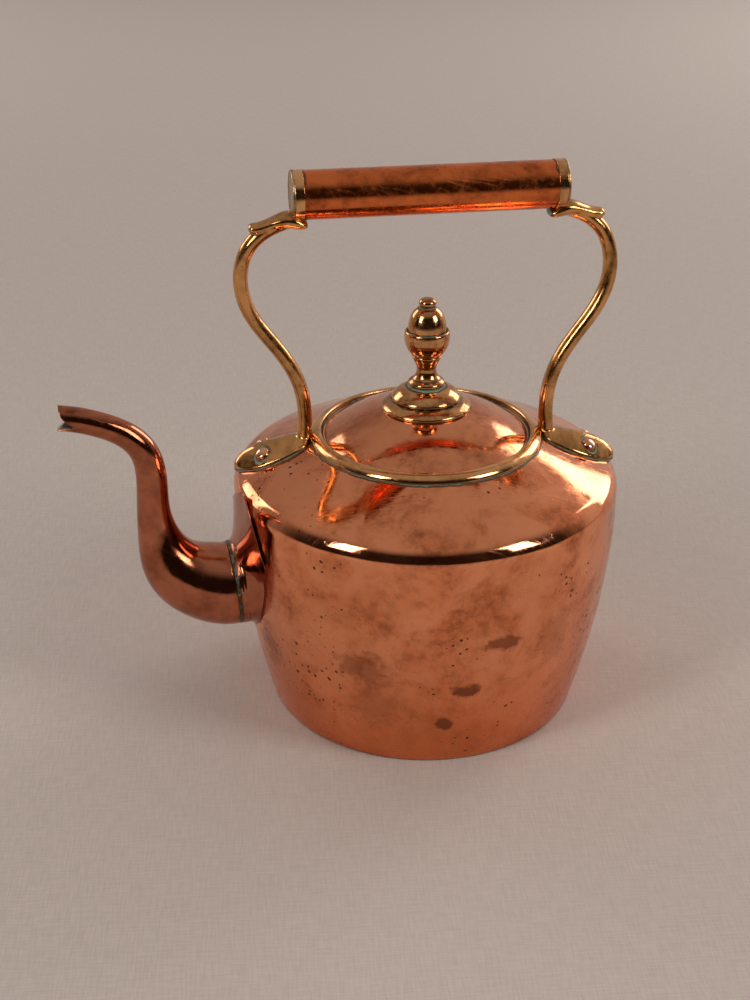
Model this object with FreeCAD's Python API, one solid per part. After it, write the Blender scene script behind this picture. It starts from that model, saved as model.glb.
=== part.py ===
import FreeCAD, Part
import math
import os

# Victorian-style copper kettle with a goose-neck spout, lift-off domed lid and a tube handle
# carried by two riveted S-shaped brackets. Millimetres, +Z up, base centre at the origin,
# handle along X, spout towards -X.

V = FreeCAD.Vector
UP = V(0, 0, 1)

SHEET = 1.2

# body
BASE_R = 83.8
BELLY_R = 101.4
BELLY_Z = 112.0
SHOULDER_R = 11.0
SHOULDER_Z = 124.0
RIM_R = 60.9
RIM_Z = 148.0
MOUTH_R = 56.5
BASE_FLANGE = 8.0

# rim ring and lid seat
RING_INNER_R = 54.5
SEAT_Z = 150.2
SEAT_INNER_R = 50.6
NECK_DEPTH = 9.0

# lid
LID_EDGE_R = 54.0
LID_TOP_Z = 167.6
LID_CURVE_R = 89.9
BEZEL_R = 50.3
BEZEL_BOTTOM = 139.5

# knob
STUD_R = 2.0

# handle
TUBE_R = 11.9
TUBE_WALL = 1.0
TUBE_HALF = 66.6
TUBE_Z = 278.8
HANDLE_TWIST = 5.5
FERRULE_R = 12.25
FERRULE_LENGTH = 4.3
CAP_THICK = 1.3

# spout
SPOUT_TURN = 9.5
SPOUT_OFFSET = 7.3
SEAM_S = 105.4
SEAM_Z = 77.6
SEAM_LEAN = 4.4
SEAM_GAP = 0.4
ROOT_R = 22.0
COLLAR_SKEW = 9.0
SPOUT_SHEET = 1.0
BORE_R = 20.6

# rivets
SHANK_R = 1.9
HEAD_R = 3.6
HEAD_H = 1.5


def save(shape, node):
    shape.exportStep("parts/" + node + ".step")


def turned(points):
    """Solid of revolution about Z from straight-sided (r, z) corners."""
    wire = Part.makePolygon([V(r, 0, z) for r, z in points] + [V(points[0][0], 0, points[0][1])])
    return Part.Face(wire).revolve(V(0, 0, 0), UP, 360)


def turned_edges(edges):
    """Solid of revolution about Z from a closed run of edges in the XZ plane."""
    return Part.Face(Part.Wire(Part.__sortEdges__(edges))).revolve(V(0, 0, 0), UP, 360)


def line(a, b):
    return Part.makeLine(V(a[0], 0, a[1]), V(b[0], 0, b[1]))


def arc(a, b, c):
    return Part.Arc(V(a[0], 0, a[1]), V(b[0], 0, b[1]), V(c[0], 0, c[1])).toShape()


def curve(points):
    spline = Part.BSplineCurve()
    spline.interpolate([V(r, 0, z) for r, z in points])
    return spline.toShape()


def tube_between(r_out, r_in, z0, z1):
    outer = Part.makeCylinder(r_out, z1 - z0, V(0, 0, z0))
    return outer.cut(Part.makeCylinder(r_in, z1 - z0, V(0, 0, z0)))


# ---------------------------------------------------------------- body

def wall_radius(z):
    """Side of the body: swelling from the foot to the belly."""
    return BELLY_R - (BELLY_R - BASE_R) * (max(BELLY_Z - z, 0.0) / BELLY_Z) ** 1.75


def wall_points(inset):
    points = []
    for step in range(9):
        z = SHOULDER_Z * step / 8.0
        slope = (wall_radius(z + 0.1) - wall_radius(z - 0.1)) / 0.2
        length = math.hypot(1.0, slope)
        points.append((wall_radius(z) - inset / length, z))
    return points


def shoulder_angle():
    """Elevation at which the shoulder arc runs into the straight dome."""
    dx = RIM_R - (BELLY_R - SHOULDER_R)
    dz = RIM_Z - SHOULDER_Z
    return math.atan2(dz, dx) - math.acos(SHOULDER_R / math.hypot(dx, dz))


def body_outline(inset, r_stop):
    """Edges of one skin of the body, from the foot up to radius r_stop on the dome."""
    side = wall_points(inset)
    cx = side[-1][0] - (SHOULDER_R - inset)
    top = shoulder_angle()
    reach = SHOULDER_R - inset
    middle = (cx + reach * math.cos(top / 2), SHOULDER_Z + reach * math.sin(top / 2))
    end = (cx + reach * math.cos(top), SHOULDER_Z + reach * math.sin(top))
    rise = -math.cos(top) / math.sin(top)
    stop = (r_stop, end[1] + (r_stop - end[0]) * rise)
    edges = [curve(side), arc(side[-1], middle, end), line(end, stop)]
    return edges, side[0], stop


def body_volume():
    edges, foot, stop = body_outline(0.0, MOUTH_R)
    edges.append(line(stop, (0.0, stop[1])))
    edges.append(line((0.0, stop[1]), (0.0, foot[1])))
    edges.append(line((0.0, foot[1]), foot))
    return turned_edges(edges)


def dome_height(r):
    """Outer face of the dome above the base at radius r."""
    edges, foot, stop = body_outline(0.0, r)
    return stop[1]


def body_shell():
    outer, foot_out, stop_out = body_outline(0.0, MOUTH_R)
    inner, foot_in, stop_in = body_outline(SHEET, MOUTH_R)
    edges = outer + inner
    edges.append(line(foot_out, foot_in))
    edges.append(line(stop_out, stop_in))
    return turned_edges(edges)


def base_plate(shell):
    inner_foot = wall_points(SHEET)[0][0] + 3.0
    disc = Part.makeCylinder(inner_foot, BASE_FLANGE)
    dish_r = BASE_R - 2 * SHEET - 0.4
    disc = disc.cut(Part.makeCone(dish_r, dish_r + 2.0, BASE_FLANGE, V(0, 0, 1.6)))
    inside = body_volume().common(disc)
    return inside.cut(shell)


def rim_ring(shell):
    points_z = dome_height(RIM_R)
    edges = [
        arc((RIM_R, points_z - 0.3), (60.0, 150.9), (57.6, 152.3)),
        arc((57.6, 152.3), (55.8, 152.6), (RING_INNER_R, 152.0)),
        line((RING_INNER_R, 152.0), (RING_INNER_R, SEAT_Z)),
        line((RING_INNER_R, SEAT_Z), (SEAT_INNER_R, SEAT_Z)),
        line((SEAT_INNER_R, SEAT_Z), (SEAT_INNER_R, 147.2)),
        line((SEAT_INNER_R, 147.2), (57.0, 147.2)),
        line((57.0, 147.2), (RIM_R, points_z - 0.3)),
    ]
    ring = turned_edges(edges)
    return ring.cut(shell).Solids[0]


def neck_sleeve():
    return tube_between(SEAT_INNER_R + 1.0, SEAT_INNER_R, 147.2 - NECK_DEPTH, 147.2)


# ---------------------------------------------------------------- lid and knob

def lid_curve(r, drop=0.0):
    """Height of the lid skin at radius r, lowered by drop."""
    return LID_TOP_Z - drop - (LID_CURVE_R - math.sqrt(LID_CURVE_R ** 2 - r ** 2))


def lid_dome():
    inner_r = LID_EDGE_R - 2.5
    outer_top = lid_curve(LID_EDGE_R)
    edges = [
        arc((LID_EDGE_R, outer_top), (30.0, lid_curve(30.0)), (0.0, LID_TOP_Z)),
        line((0.0, LID_TOP_Z), (0.0, LID_TOP_Z - SHEET)),
        arc((0.0, LID_TOP_Z - SHEET), (30.0, lid_curve(30.0, SHEET)), (inner_r, lid_curve(inner_r, SHEET))),
        line((inner_r, lid_curve(inner_r, SHEET)), (inner_r, SEAT_Z)),
        line((inner_r, SEAT_Z), (LID_EDGE_R, SEAT_Z)),
        line((LID_EDGE_R, SEAT_Z), (LID_EDGE_R, outer_top)),
    ]
    return turned_edges(edges).cut(Part.makeCylinder(STUD_R, 80, V(0, 0, 130)))


def lid_underside():
    """Everything below the inner skin of the lid."""
    inner_r = LID_EDGE_R - 2.5
    edges = [
        arc((0.0, LID_TOP_Z - SHEET), (30.0, lid_curve(30.0, SHEET)), (inner_r, lid_curve(inner_r, SHEET))),
        line((inner_r, lid_curve(inner_r, SHEET)), (inner_r, 130.0)),
        line((inner_r, 130.0), (0.0, 130.0)),
        line((0.0, 130.0), (0.0, LID_TOP_Z - SHEET)),
    ]
    return turned_edges(edges)


def lid_bezel():
    return tube_between(BEZEL_R, BEZEL_R - SHEET, BEZEL_BOTTOM, 158.0).common(lid_underside())


def knob_piece(outline):
    """Turned knob part from (r, z) outer points joined by a smooth curve, bored for the stud."""
    first = outline[0]
    last = outline[-1]
    edges = [curve(outline)]
    if last[0] > 0.0:
        edges.append(line(last, (0.0, last[1])))
    edges.append(line((0.0, last[1]), (0.0, first[1])))
    edges.append(line((0.0, first[1]), first))
    return turned_edges(edges)


def knob_foot_disc(lid):
    edges = [
        line((0.0, 162.0), (22.6, 162.0)),
        line((22.6, 162.0), (22.6, 164.2)),
        arc((22.6, 164.2), (23.3, 165.6), (22.2, 166.9)),
        curve([(22.2, 166.9), (20.0, 168.3), (17.2, 169.2)]),
        line((17.2, 169.2), (0.0, 169.2)),
        line((0.0, 169.2), (0.0, 162.0)),
    ]
    disc = turned_edges(edges)
    below = turned_edges([
        arc((0.0, LID_TOP_Z), (20.0, lid_curve(20.0)), (40.0, lid_curve(40.0))),
        line((40.0, lid_curve(40.0)), (40.0, 150.0)),
        line((40.0, 150.0), (0.0, 150.0)),
        line((0.0, 150.0), (0.0, LID_TOP_Z)),
    ])
    return disc.cut(below).cut(Part.makeCylinder(STUD_R, 80, V(0, 0, 130)))


def knob_foot_dome():
    edges = [
        line((0.0, 169.2), (17.2, 169.2)),
        arc((17.2, 169.2), (17.9, 170.4), (17.3, 171.6)),
        curve([(17.3, 171.6), (15.2, 173.7), (12.4, 175.4), (9.4, 176.4)]),
        line((9.4, 176.4), (0.0, 176.4)),
        line((0.0, 176.4), (0.0, 169.2)),
    ]
    return turned_edges(edges).cut(Part.makeCylinder(STUD_R, 80, V(0, 0, 130)))


def knob_stem():
    edges = [
        line((0.0, 176.4), (8.9, 176.4)),
        arc((8.9, 176.4), (9.5, 178.0), (8.7, 179.6)),
        curve([(8.7, 179.6), (6.4, 181.5), (5.1, 184.6), (5.5, 188.0), (7.2, 191.4), (7.6, 193.0)]),
        line((7.6, 193.0), (0.0, 193.0)),
        line((0.0, 193.0), (0.0, 176.4)),
    ]
    return turned_edges(edges).cut(Part.makeCylinder(STUD_R, 80, V(0, 0, 130)))


def knob_cup():
    cup = knob_piece([(6.9, 193.0), (9.4, 195.6), (11.2, 199.6), (11.7, 203.2), (11.3, 206.4)])
    cup = cup.cut(Part.makeCylinder(9.9, 10, V(0, 0, 204.6)))
    return cup.cut(Part.makeCylinder(STUD_R, 80, V(0, 0, 130)))


def knob_acorn():
    return knob_piece([(9.6, 204.6), (9.8, 207.5), (9.3, 211.5), (7.4, 216.0), (5.2, 218.2), (4.0, 218.9)])


def knob_tip():
    return knob_piece([(3.3, 218.9), (4.4, 219.9), (4.5, 221.3), (3.2, 222.9), (0.0, 223.6)])


def knob_stud():
    return Part.makeCylinder(STUD_R, 204.6 - 160.0, V(0, 0, 160.0))


def knob_washer():
    washer = tube_between(8.0, STUD_R, 164.2, 166.8).common(lid_underside())
    return washer


def knob_nut():
    angles = [math.radians(60 * i) for i in range(7)]
    corners = [V(5.2 * math.cos(angle), 5.2 * math.sin(angle), 160.8) for angle in angles]
    block = Part.Face(Part.makePolygon(corners)).extrude(V(0, 0, 3.4))
    return block.cut(Part.makeCylinder(STUD_R, 80, V(0, 0, 130)))


# ---------------------------------------------------------------- handle

def twisted(shape, side):
    """Handle parts are modelled for the right end; the left end is the same part turned round."""
    turn = HANDLE_TWIST if side > 0 else HANDLE_TWIST + 180.0
    return shape.rotate(V(0, 0, 0), UP, turn)


def end_rod(radius, start, length):
    return Part.makeCylinder(radius, length, V(start, 0, TUBE_Z), V(1, 0, 0))


def handle_tube():
    bar = end_rod(TUBE_R, -TUBE_HALF, 2 * TUBE_HALF)
    bore = end_rod(TUBE_R - TUBE_WALL, -TUBE_HALF, 2 * TUBE_HALF)
    return twisted(bar.cut(bore), 1)


def ferrule(side):
    start = TUBE_HALF - FERRULE_LENGTH
    ring = end_rod(FERRULE_R, start, FERRULE_LENGTH)
    return twisted(ring.cut(end_rod(TUBE_R, start, FERRULE_LENGTH)), side)


def end_cap(side):
    """Slightly dished disc closing the tube, with a spigot inside the bore."""
    disc = end_rod(FERRULE_R, TUBE_HALF, CAP_THICK)
    disc = disc.cut(end_rod(FERRULE_R - 1.3, TUBE_HALF + CAP_THICK - 0.4, 0.4))
    spigot = end_rod(TUBE_R - TUBE_WALL, TUBE_HALF - 3.0, 3.0)
    return twisted(disc.fuse(spigot).removeSplitter(), side)


ARM_PATH = [(64.0, 144.0), (63.2, 156.0), (63.4, 168.0), (65.8, 180.0), (70.7, 191.0), (77.9, 202.0),
            (85.4, 212.5), (91.2, 224.0), (93.5, 236.0), (92.0, 247.5), (87.2, 256.4), (79.0, 262.8),
            (70.0, 266.4)]


def arm():
    """S-shaped bar of oval section that twists from the foot line to the handle line."""
    spline = Part.BSplineCurve()
    points = []
    for x, z in ARM_PATH:
        turn = math.radians(HANDLE_TWIST * min(max((z - 150.0) / 112.0, 0.0), 1.0))
        points.append(V(x * math.cos(turn), x * math.sin(turn), z))
    spline.interpolate(points)
    first = spline.FirstParameter
    last = spline.LastParameter
    sections = []
    for step in range(17):
        share = step / 16.0
        at = first + (last - first) * share
        thick = 3.7 + 0.5 * max(0.0, 1.0 - share * 8)
        oval = Part.Ellipse(V(0, 0, 0), thick * 1.22, thick).toShape()
        normal = V(*spline.tangent(at)[0])
        turn = FreeCAD.Rotation(V(0, 1, 0), normal.cross(V(0, 1, 0)), normal, "ZXY")
        oval.Placement = FreeCAD.Placement(spline.value(at), turn)
        sections.append(Part.Wire(oval))
    return Part.makeLoft(sections, True, False)


SPUR = [(60.4, 264.8, 1.6, 5.0), (62.0, 265.0, 2.6, 6.2), (67.0, 266.8, 4.2, 7.0), (73.0, 267.0, 3.6, 6.2),
        (79.5, 265.0, 2.9, 4.9), (84.5, 263.6, 2.8, 4.6), (87.6, 263.6, 2.3, 4.1), (88.9, 263.6, 1.2, 2.4)]


def spur():
    """Thumb scroll on top of the arm, running back as a tongue under the tube end."""
    sections = []
    for x, z, half_height, half_width in SPUR:
        oval = Part.Ellipse(V(0, 0, 0), half_width, half_height).toShape()
        turn = FreeCAD.Rotation(V(0, 1, 0), V(0, 0, 1), V(1, 0, 0), "ZXY")
        oval.Placement = FreeCAD.Placement(V(x, 0, z), turn)
        sections.append(Part.Wire(oval))
    return Part.makeLoft(sections, True, False).rotate(V(0, 0, 0), UP, HANDLE_TWIST)


LEAF_EDGE = [(61.2, 0.0), (61.8, 5.5), (63.5, 9.6), (69.0, 12.2), (76.5, 13.6), (84.0, 13.4), (91.0, 11.0),
             (97.0, 6.6), (100.2, 2.6), (100.9, 0.0)]
RIDGE = [(58.0, 152.2), (66.0, 150.6), (72.0, 149.3), (78.0, 148.2), (84.0, 146.9), (90.0, 144.9),
         (95.0, 142.1), (98.5, 138.9), (101.0, 135.3), (104.0, 130.0)]
LEAF_RIM = 1.6
LEAST_HALF_WIDTH = 6.0
CROWN_POWER = 1.8


def along(table, x):
    """Straight-line reading of a table of (x, value) rows."""
    for (x0, v0), (x1, v1) in zip(table, table[1:]):
        if x <= x1:
            return v0 + (v1 - v0) * (x - x0) / (x1 - x0)
    return table[-1][1]


def plate_top(x, y):
    """Height of the foot plate's crown: a ridge falling away to a thin rim on the dome."""
    half = max(along(LEAF_EDGE, x), LEAST_HALF_WIDTH)
    rim = dome_height(math.hypot(x, half)) + LEAF_RIM
    ridge = along(RIDGE, x)
    return ridge - (ridge - rim) * (abs(y) / half) ** CROWN_POWER


def foot_leaf():
    """Leaf-shaped foot plate with a raised middle ridge, resting on the dome."""
    upper = [V(x, y, 128.5) for x, y in LEAF_EDGE]
    lower = [V(x, -y, 128.5) for x, y in reversed(LEAF_EDGE[1:-1])]
    outline = Part.BSplineCurve()
    outline.interpolate(Points=upper + lower, PeriodicFlag=True)
    prism = Part.Face(Part.Wire(outline.toShape())).extrude(V(0, 0, 40))
    sections = []
    for x, z in RIDGE:
        reach = 1.25 * max(along(LEAF_EDGE, x), LEAST_HALF_WIDTH)
        crown = Part.BSplineCurve()
        crown.interpolate([V(x, reach * k / 5.0, plate_top(x, reach * k / 5.0)) for k in range(-5, 6)])
        low = plate_top(x, reach)
        sides = Part.makePolygon([V(x, reach, low), V(x, reach, 110), V(x, -reach, 110), V(x, -reach, low)])
        sections.append(Part.Wire(Part.__sortEdges__([crown.toShape()] + sides.Edges)))
    roof = Part.makeLoft(sections, True, False)
    return prism.common(roof)


def bracket(side, volume, ring, rivets):
    casting = foot_leaf().fuse(arm())
    casting = casting.fuse(spur())
    if side < 0:
        casting = casting.rotate(V(0, 0, 0), UP, 180)
    casting = casting.cut(volume)
    casting = casting.cut(ring)
    casting = casting.cut(twisted(end_rod(FERRULE_R, 0, TUBE_HALF + CAP_THICK), side))
    for pin in rivets:
        casting = casting.cut(pin)
    return max(casting.Solids, key=lambda solid: solid.Volume)


RIVET_SPOTS = {"front": (85.7, -7.5), "back": (85.7, 7.5)}
RIVET_LEAN = (0.40, 0.45)


def rivet_place(side, spot):
    """Point on the dome under the rivet, its outward axis there and its height along that axis."""
    x, y = RIVET_SPOTS[spot]
    axis = V(RIVET_LEAN[0] * side, math.copysign(RIVET_LEAN[1], y), 1.0).normalize()
    head = V(x * side, y, plate_top(x, y))
    lift = 0.0
    for step in range(20):
        foot = head - axis * lift
        lift += (foot.z - dome_height(math.hypot(foot.x, foot.y))) * 0.8
    return head - axis * lift, axis, lift


def rivet(at, axis, lift):
    """Domed head on the foot plate, shank through plate and dome, peened button inside."""
    seat = lift - 1.2
    crown = (HEAD_R ** 2 + HEAD_H ** 2) / (2.0 * HEAD_H)
    half = math.asin(HEAD_R / crown) / 2.0
    middle = (crown * math.sin(half), lift + HEAD_H - crown + crown * math.cos(half))
    edges = [
        line((0.0, -SHEET - 1.3), (HEAD_R - 0.7, -SHEET - 1.3)),
        line((HEAD_R - 0.7, -SHEET - 1.3), (HEAD_R, -SHEET)),
        line((HEAD_R, -SHEET), (SHANK_R, -SHEET)),
        line((SHANK_R, -SHEET), (SHANK_R, seat)),
        line((SHANK_R, seat), (HEAD_R, seat)),
        line((HEAD_R, seat), (HEAD_R, lift)),
        arc((HEAD_R, lift), middle, (0.0, lift + HEAD_H)),
        line((0.0, lift + HEAD_H), (0.0, -SHEET - 1.3)),
    ]
    body = turned_edges(edges)
    body.Placement = FreeCAD.Placement(at, FreeCAD.Rotation(UP, axis))
    return body


# ---------------------------------------------------------------- spout

def spout_point(s, y, z):
    """Point at distance s along the spout's own plane, y to its side."""
    turn = math.radians(SPOUT_TURN)
    side = y + SPOUT_OFFSET
    return V(-s * math.cos(turn) + side * math.sin(turn), -s * math.sin(turn) - side * math.cos(turn), z)


def seam_spot(y, rise, shift):
    """Point in the leaning seam plane, y across and rise up from its centre."""
    lean = math.radians(SEAM_LEAN)
    s = SEAM_S + rise * math.sin(lean) + shift * math.cos(lean)
    return spout_point(s, y, SEAM_Z + rise * math.cos(lean) - shift * math.sin(lean))


def seam_normal():
    return (seam_spot(0, 0, 1) - seam_spot(0, 0, 0)).normalize()


SPOUT_LINE = [(109.2, 77.4, 21.95), (117.0, 79.0, 21.3), (127.6, 84.0, 19.5), (136.2, 92.4, 16.6),
              (141.6, 104.6, 12.4), (144.2, 119.0, 9.2), (144.6, 131.0, 8.15), (144.5, 144.0, 7.75),
              (147.0, 157.0, 7.3), (154.4, 166.7, 6.7), (166.0, 173.6, 6.4), (180.0, 178.5, 6.35),
              (193.0, 180.6, 6.35)]


def spout_sections(inset):
    spline = Part.BSplineCurve()
    start = seam_spot(0, 0, SEAM_GAP)
    spline.interpolate([start] + [spout_point(s, 0, z) for s, z, r in SPOUT_LINE])
    sections = [Part.Wire(Part.Circle(start, seam_normal(), ROOT_R - inset).toShape())]
    for s, z, r in SPOUT_LINE:
        centre = spout_point(s, 0, z)
        normal = V(*spline.tangent(spline.parameter(centre))[0])
        sections.append(Part.Wire(Part.Circle(centre, normal, r - inset).toShape()))
    return sections


def beak_cutter():
    """Wedge that opens the tip into an upper and a lower lip."""
    upper, upper_middle = spout_point(186.7, -20, 185.6), spout_point(184.7, -20, 180.6)
    corner = spout_point(179.3, -20, 176.3)
    lower, lower_middle = spout_point(190.6, -20, 171.8), spout_point(185.4, -20, 175.0)
    top = Part.Arc(upper, upper_middle, corner)
    low = Part.Arc(corner, lower_middle, lower)
    clear = [spout_point(s, -20, z) for s, z in ((191.0, 150), (230, 150), (230, 215), (187.0, 215))]
    rest = Part.makePolygon([lower] + clear + [upper])
    wire = Part.Wire(Part.__sortEdges__([top.toShape(), low.toShape()] + rest.Edges))
    return Part.Face(wire).extrude(spout_point(0, 40, 0) - spout_point(0, 0, 0))


def spout_pipe():
    outer = spout_sections(0.0)
    inner = spout_sections(SPOUT_SHEET)
    faces = Part.makeLoft(outer, False, False).Faces + Part.makeLoft(inner, False, False).Faces
    faces.append(Part.Face([outer[0], inner[0]]))
    faces.append(Part.Face([outer[-1], inner[-1]]))
    shell = Part.makeShell(faces)
    shell.sewShape()
    pipe = Part.makeSolid(shell)
    if pipe.Volume < 0:
        pipe.reverse()
    return max(pipe.cut(beak_cutter()).Solids, key=lambda solid: solid.Volume)


def spout_bore():
    start = seam_spot(0, 0, 0) - seam_normal() * 45.0
    return Part.makeCylinder(BORE_R, 45.0, start, seam_normal())


def horn_ring(share, inset):
    """One closed section of the flared collar: 0 at the seam, 1 where it meets the wall."""
    points = []
    for step in range(24):
        angle = 2 * math.pi * step / 24.0
        across = math.cos(angle)
        rise = math.sin(angle)
        root = seam_spot((ROOT_R - inset) * across, (ROOT_R - inset) * rise, -SEAM_GAP)
        power = 1.3 if rise > 0 else 1.6
        tall = 31.5 if rise > 0 else 51.0
        reach = (abs(across) ** power + abs(rise) ** power) ** (-1.0 / power)
        foot_y = (33.0 - inset * 2) * reach * across + COLLAR_SKEW * max(rise, 0.0) ** 2
        foot_z = 102.0 + (tall - inset * 2) * reach * rise
        foot = on_wall(foot_y, foot_z, 0.9 - inset)
        knee = on_wall((ROOT_R - inset) * across * 1.03, root.z, 1.7 - inset)
        points.append(root * (1 - share) ** 2 + knee * 2 * share * (1 - share) + foot * share ** 2)
    return points


def on_wall(y, z, lift):
    """Point on the body side at spout offset y and height z, lifted off the surface."""
    skin = wall_radius(z) - 0.012 * max(z - SHOULDER_Z, 0.0) ** 2 + lift
    return spout_point(math.sqrt(skin ** 2 - (y + SPOUT_OFFSET) ** 2), y, z)


def closed_curve(points):
    spline = Part.BSplineCurve()
    spline.interpolate(Points=points, PeriodicFlag=True)
    return Part.Wire(spline.toShape())


def horn_solid(inset):
    rings = [closed_curve(horn_ring(k / 5.0, inset)) for k in range(6)]
    along = (spout_point(1, 0, 0) - spout_point(0, 0, 0)).normalize()
    inner = closed_curve([p - along * (p.dot(along) - 70.0) for p in horn_ring(1.0, inset)])
    flare = Part.makeLoft(rings, False, False)
    skirt = Part.makeLoft([rings[-1], inner], False, True)
    shell = Part.makeShell(flare.Faces + skirt.Faces + [Part.Face(rings[0]), Part.Face(inner)])
    shell.sewShape()
    solid = Part.makeSolid(shell)
    if solid.Volume < 0:
        solid.reverse()
    return solid


def spout_collar(volume):
    horn = horn_solid(0.0).cut(horn_solid(1.0)).cut(volume)
    return max(horn.Solids, key=lambda solid: solid.Volume)


def seam_bead():
    """Thin rounded brazing ring between the collar and the spout."""
    low = seam_spot(0, 0, -SEAM_GAP)
    band = Part.makeCylinder(ROOT_R + 0.7, 2 * SEAM_GAP, low, seam_normal())
    band = band.makeFillet(0.3, [e for e in band.Edges if e.Closed])
    return band.cut(Part.makeCylinder(ROOT_R - SPOUT_SHEET, 2 * SEAM_GAP, low, seam_normal()))


# ---------------------------------------------------------------- assembly

def build():
    os.makedirs("parts", exist_ok=True)
    volume = body_volume()
    shell = body_shell()
    plate = base_plate(shell)
    ring = rim_ring(shell)
    pipe = spout_pipe()
    collar = spout_collar(volume)

    for side, name in ((-1, "left"), (1, "right")):
        pins = {spot: rivet(*rivet_place(side, spot)) for spot in RIVET_SPOTS}
        save(bracket(side, volume, ring, list(pins.values())), "bracket_" + name)
        save(ferrule(side), "ferrule_" + name)
        save(end_cap(side), "end_cap_" + name)
        for spot, pin in pins.items():
            shell = shell.cut(pin)
            save(pin, "rivet_" + name + "_" + spot)

    shell = shell.cut(spout_bore())
    save(shell, "body_shell")
    save(plate, "base_plate")
    save(ring, "rim_ring")
    save(neck_sleeve(), "neck_sleeve")
    save(pipe, "spout_pipe")
    save(collar, "spout_collar")
    save(seam_bead(), "spout_seam_bead")
    save(handle_tube(), "handle_tube")

    lid = lid_dome()
    save(lid, "lid_dome")
    save(lid_bezel(), "lid_bezel")
    save(knob_foot_disc(lid), "knob_foot_disc")
    save(knob_foot_dome(), "knob_foot_dome")
    save(knob_stem(), "knob_stem")
    save(knob_cup(), "knob_cup")
    save(knob_acorn(), "knob_acorn")
    save(knob_tip(), "knob_tip")
    save(knob_stud(), "knob_stud")
    save(knob_washer(), "knob_washer")
    save(knob_nut(), "knob_nut")


build()
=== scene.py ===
import math

import bmesh
import bpy
import numpy as np
from mathutils import Matrix, Vector, noise


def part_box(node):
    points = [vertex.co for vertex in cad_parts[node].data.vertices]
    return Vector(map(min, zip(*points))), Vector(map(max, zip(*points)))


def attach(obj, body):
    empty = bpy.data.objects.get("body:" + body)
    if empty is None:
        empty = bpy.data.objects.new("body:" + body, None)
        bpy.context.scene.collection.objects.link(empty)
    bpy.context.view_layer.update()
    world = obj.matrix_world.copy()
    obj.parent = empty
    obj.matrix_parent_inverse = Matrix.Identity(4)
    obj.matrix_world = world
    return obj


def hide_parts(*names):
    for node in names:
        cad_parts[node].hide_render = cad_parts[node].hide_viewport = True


# Antique copper kettle with a goose-neck spout, brass rim ring, domed lid with an acorn knob and a
# copper tube handle on two riveted brass brackets. Outlines are given in millimetres, with the base
# centre at the origin, +Z up and the two bracket feet along X.

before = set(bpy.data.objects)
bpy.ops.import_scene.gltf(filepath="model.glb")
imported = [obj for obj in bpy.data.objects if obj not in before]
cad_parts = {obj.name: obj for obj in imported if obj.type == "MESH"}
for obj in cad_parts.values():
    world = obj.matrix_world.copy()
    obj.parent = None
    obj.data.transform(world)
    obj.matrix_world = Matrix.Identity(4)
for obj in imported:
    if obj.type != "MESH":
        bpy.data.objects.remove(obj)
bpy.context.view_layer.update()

MM = 0.001
SHEET = 1.2
EMBED = 0.25


def box_mm(node):
    low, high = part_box(node)
    return low / MM, high / MM


# driving sizes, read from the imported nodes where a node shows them
BASE_R = 83.8
BELLY_R = 101.4
BELLY_Z = 112.0
SHOULDER_R = 11.0
SHOULDER_Z = 124.0
RIM_R = box_mm("rim_ring")[1].x
RIM_Z = 148.0
MOUTH_R = 56.5
RING_INNER_R = 54.5
SEAT_Z = 150.2
SLEEVE_OUTER_R = box_mm("neck_sleeve")[1].x
SLEEVE_LOW_Z = box_mm("neck_sleeve")[0].z
LID_EDGE_R = box_mm("lid_dome")[1].x
LID_TOP_Z = box_mm("lid_dome")[1].z
LID_CURVE_R = 89.9
BEZEL_R = box_mm("lid_bezel")[1].x
BEZEL_LOW_Z = box_mm("lid_bezel")[0].z
TUBE_R = 11.9
TUBE_WALL = 1.0
TUBE_HALF = 66.6
TUBE_Z = 278.8
HANDLE_TWIST = 5.5
FERRULE_R = 12.25
FERRULE_LENGTH = 4.3
CAP_THICK = 1.3
SPOUT_TURN = math.radians(9.5)
SPOUT_OFFSET = 7.3
SEAM_S = 105.4
SEAM_Z = 77.6
SEAM_LEAN = math.radians(4.4)
SEAM_GAP = 0.4
ROOT_R = 22.0
BORE_R = 20.6
SPOUT_SHEET = 1.0
COLLAR_SKEW = 9.0


# ---------------------------------------------------------------- curves and outlines

def spline(points, count):
    """Smooth curve through points, as count evenly spaced samples of a natural cubic spline."""
    points = np.array(points, float)
    chord = np.linalg.norm(np.diff(points, axis=0), axis=1)
    at = np.concatenate([[0.0], np.cumsum(np.sqrt(chord))])
    size = len(points)
    gap = np.diff(at)
    system = np.eye(size)
    target = np.zeros_like(points)
    for i in range(1, size - 1):
        system[i, i - 1] = gap[i - 1]
        system[i, i] = 2.0 * (gap[i - 1] + gap[i])
        system[i, i + 1] = gap[i]
        rise = (points[i + 1] - points[i]) / gap[i] - (points[i] - points[i - 1]) / gap[i - 1]
        target[i] = 6.0 * rise
    bend = np.linalg.solve(system, target)
    samples = np.linspace(0.0, at[-1], count)
    span = np.clip(np.searchsorted(at, samples, side="right") - 1, 0, size - 2)
    width = gap[span][:, None]
    left = (at[span + 1] - samples)[:, None]
    right = (samples - at[span])[:, None]
    curve = bend[span] * left ** 3 / (6.0 * width) + bend[span + 1] * right ** 3 / (6.0 * width)
    curve += (points[span] / width - bend[span] * width / 6.0) * left
    curve += (points[span + 1] / width - bend[span + 1] * width / 6.0) * right
    return curve


def arc(centre, radius, start, stop, count):
    """Points of an arc, angles in degrees from +r towards +z."""
    angles = np.radians(np.linspace(start, stop, count))
    return np.stack([centre[0] + radius * np.cos(angles), centre[1] + radius * np.sin(angles)], 1)


def joined(*parts):
    """One outline from several runs of points."""
    return np.concatenate([np.array(part, float).reshape(-1, 2) for part in parts])


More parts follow.
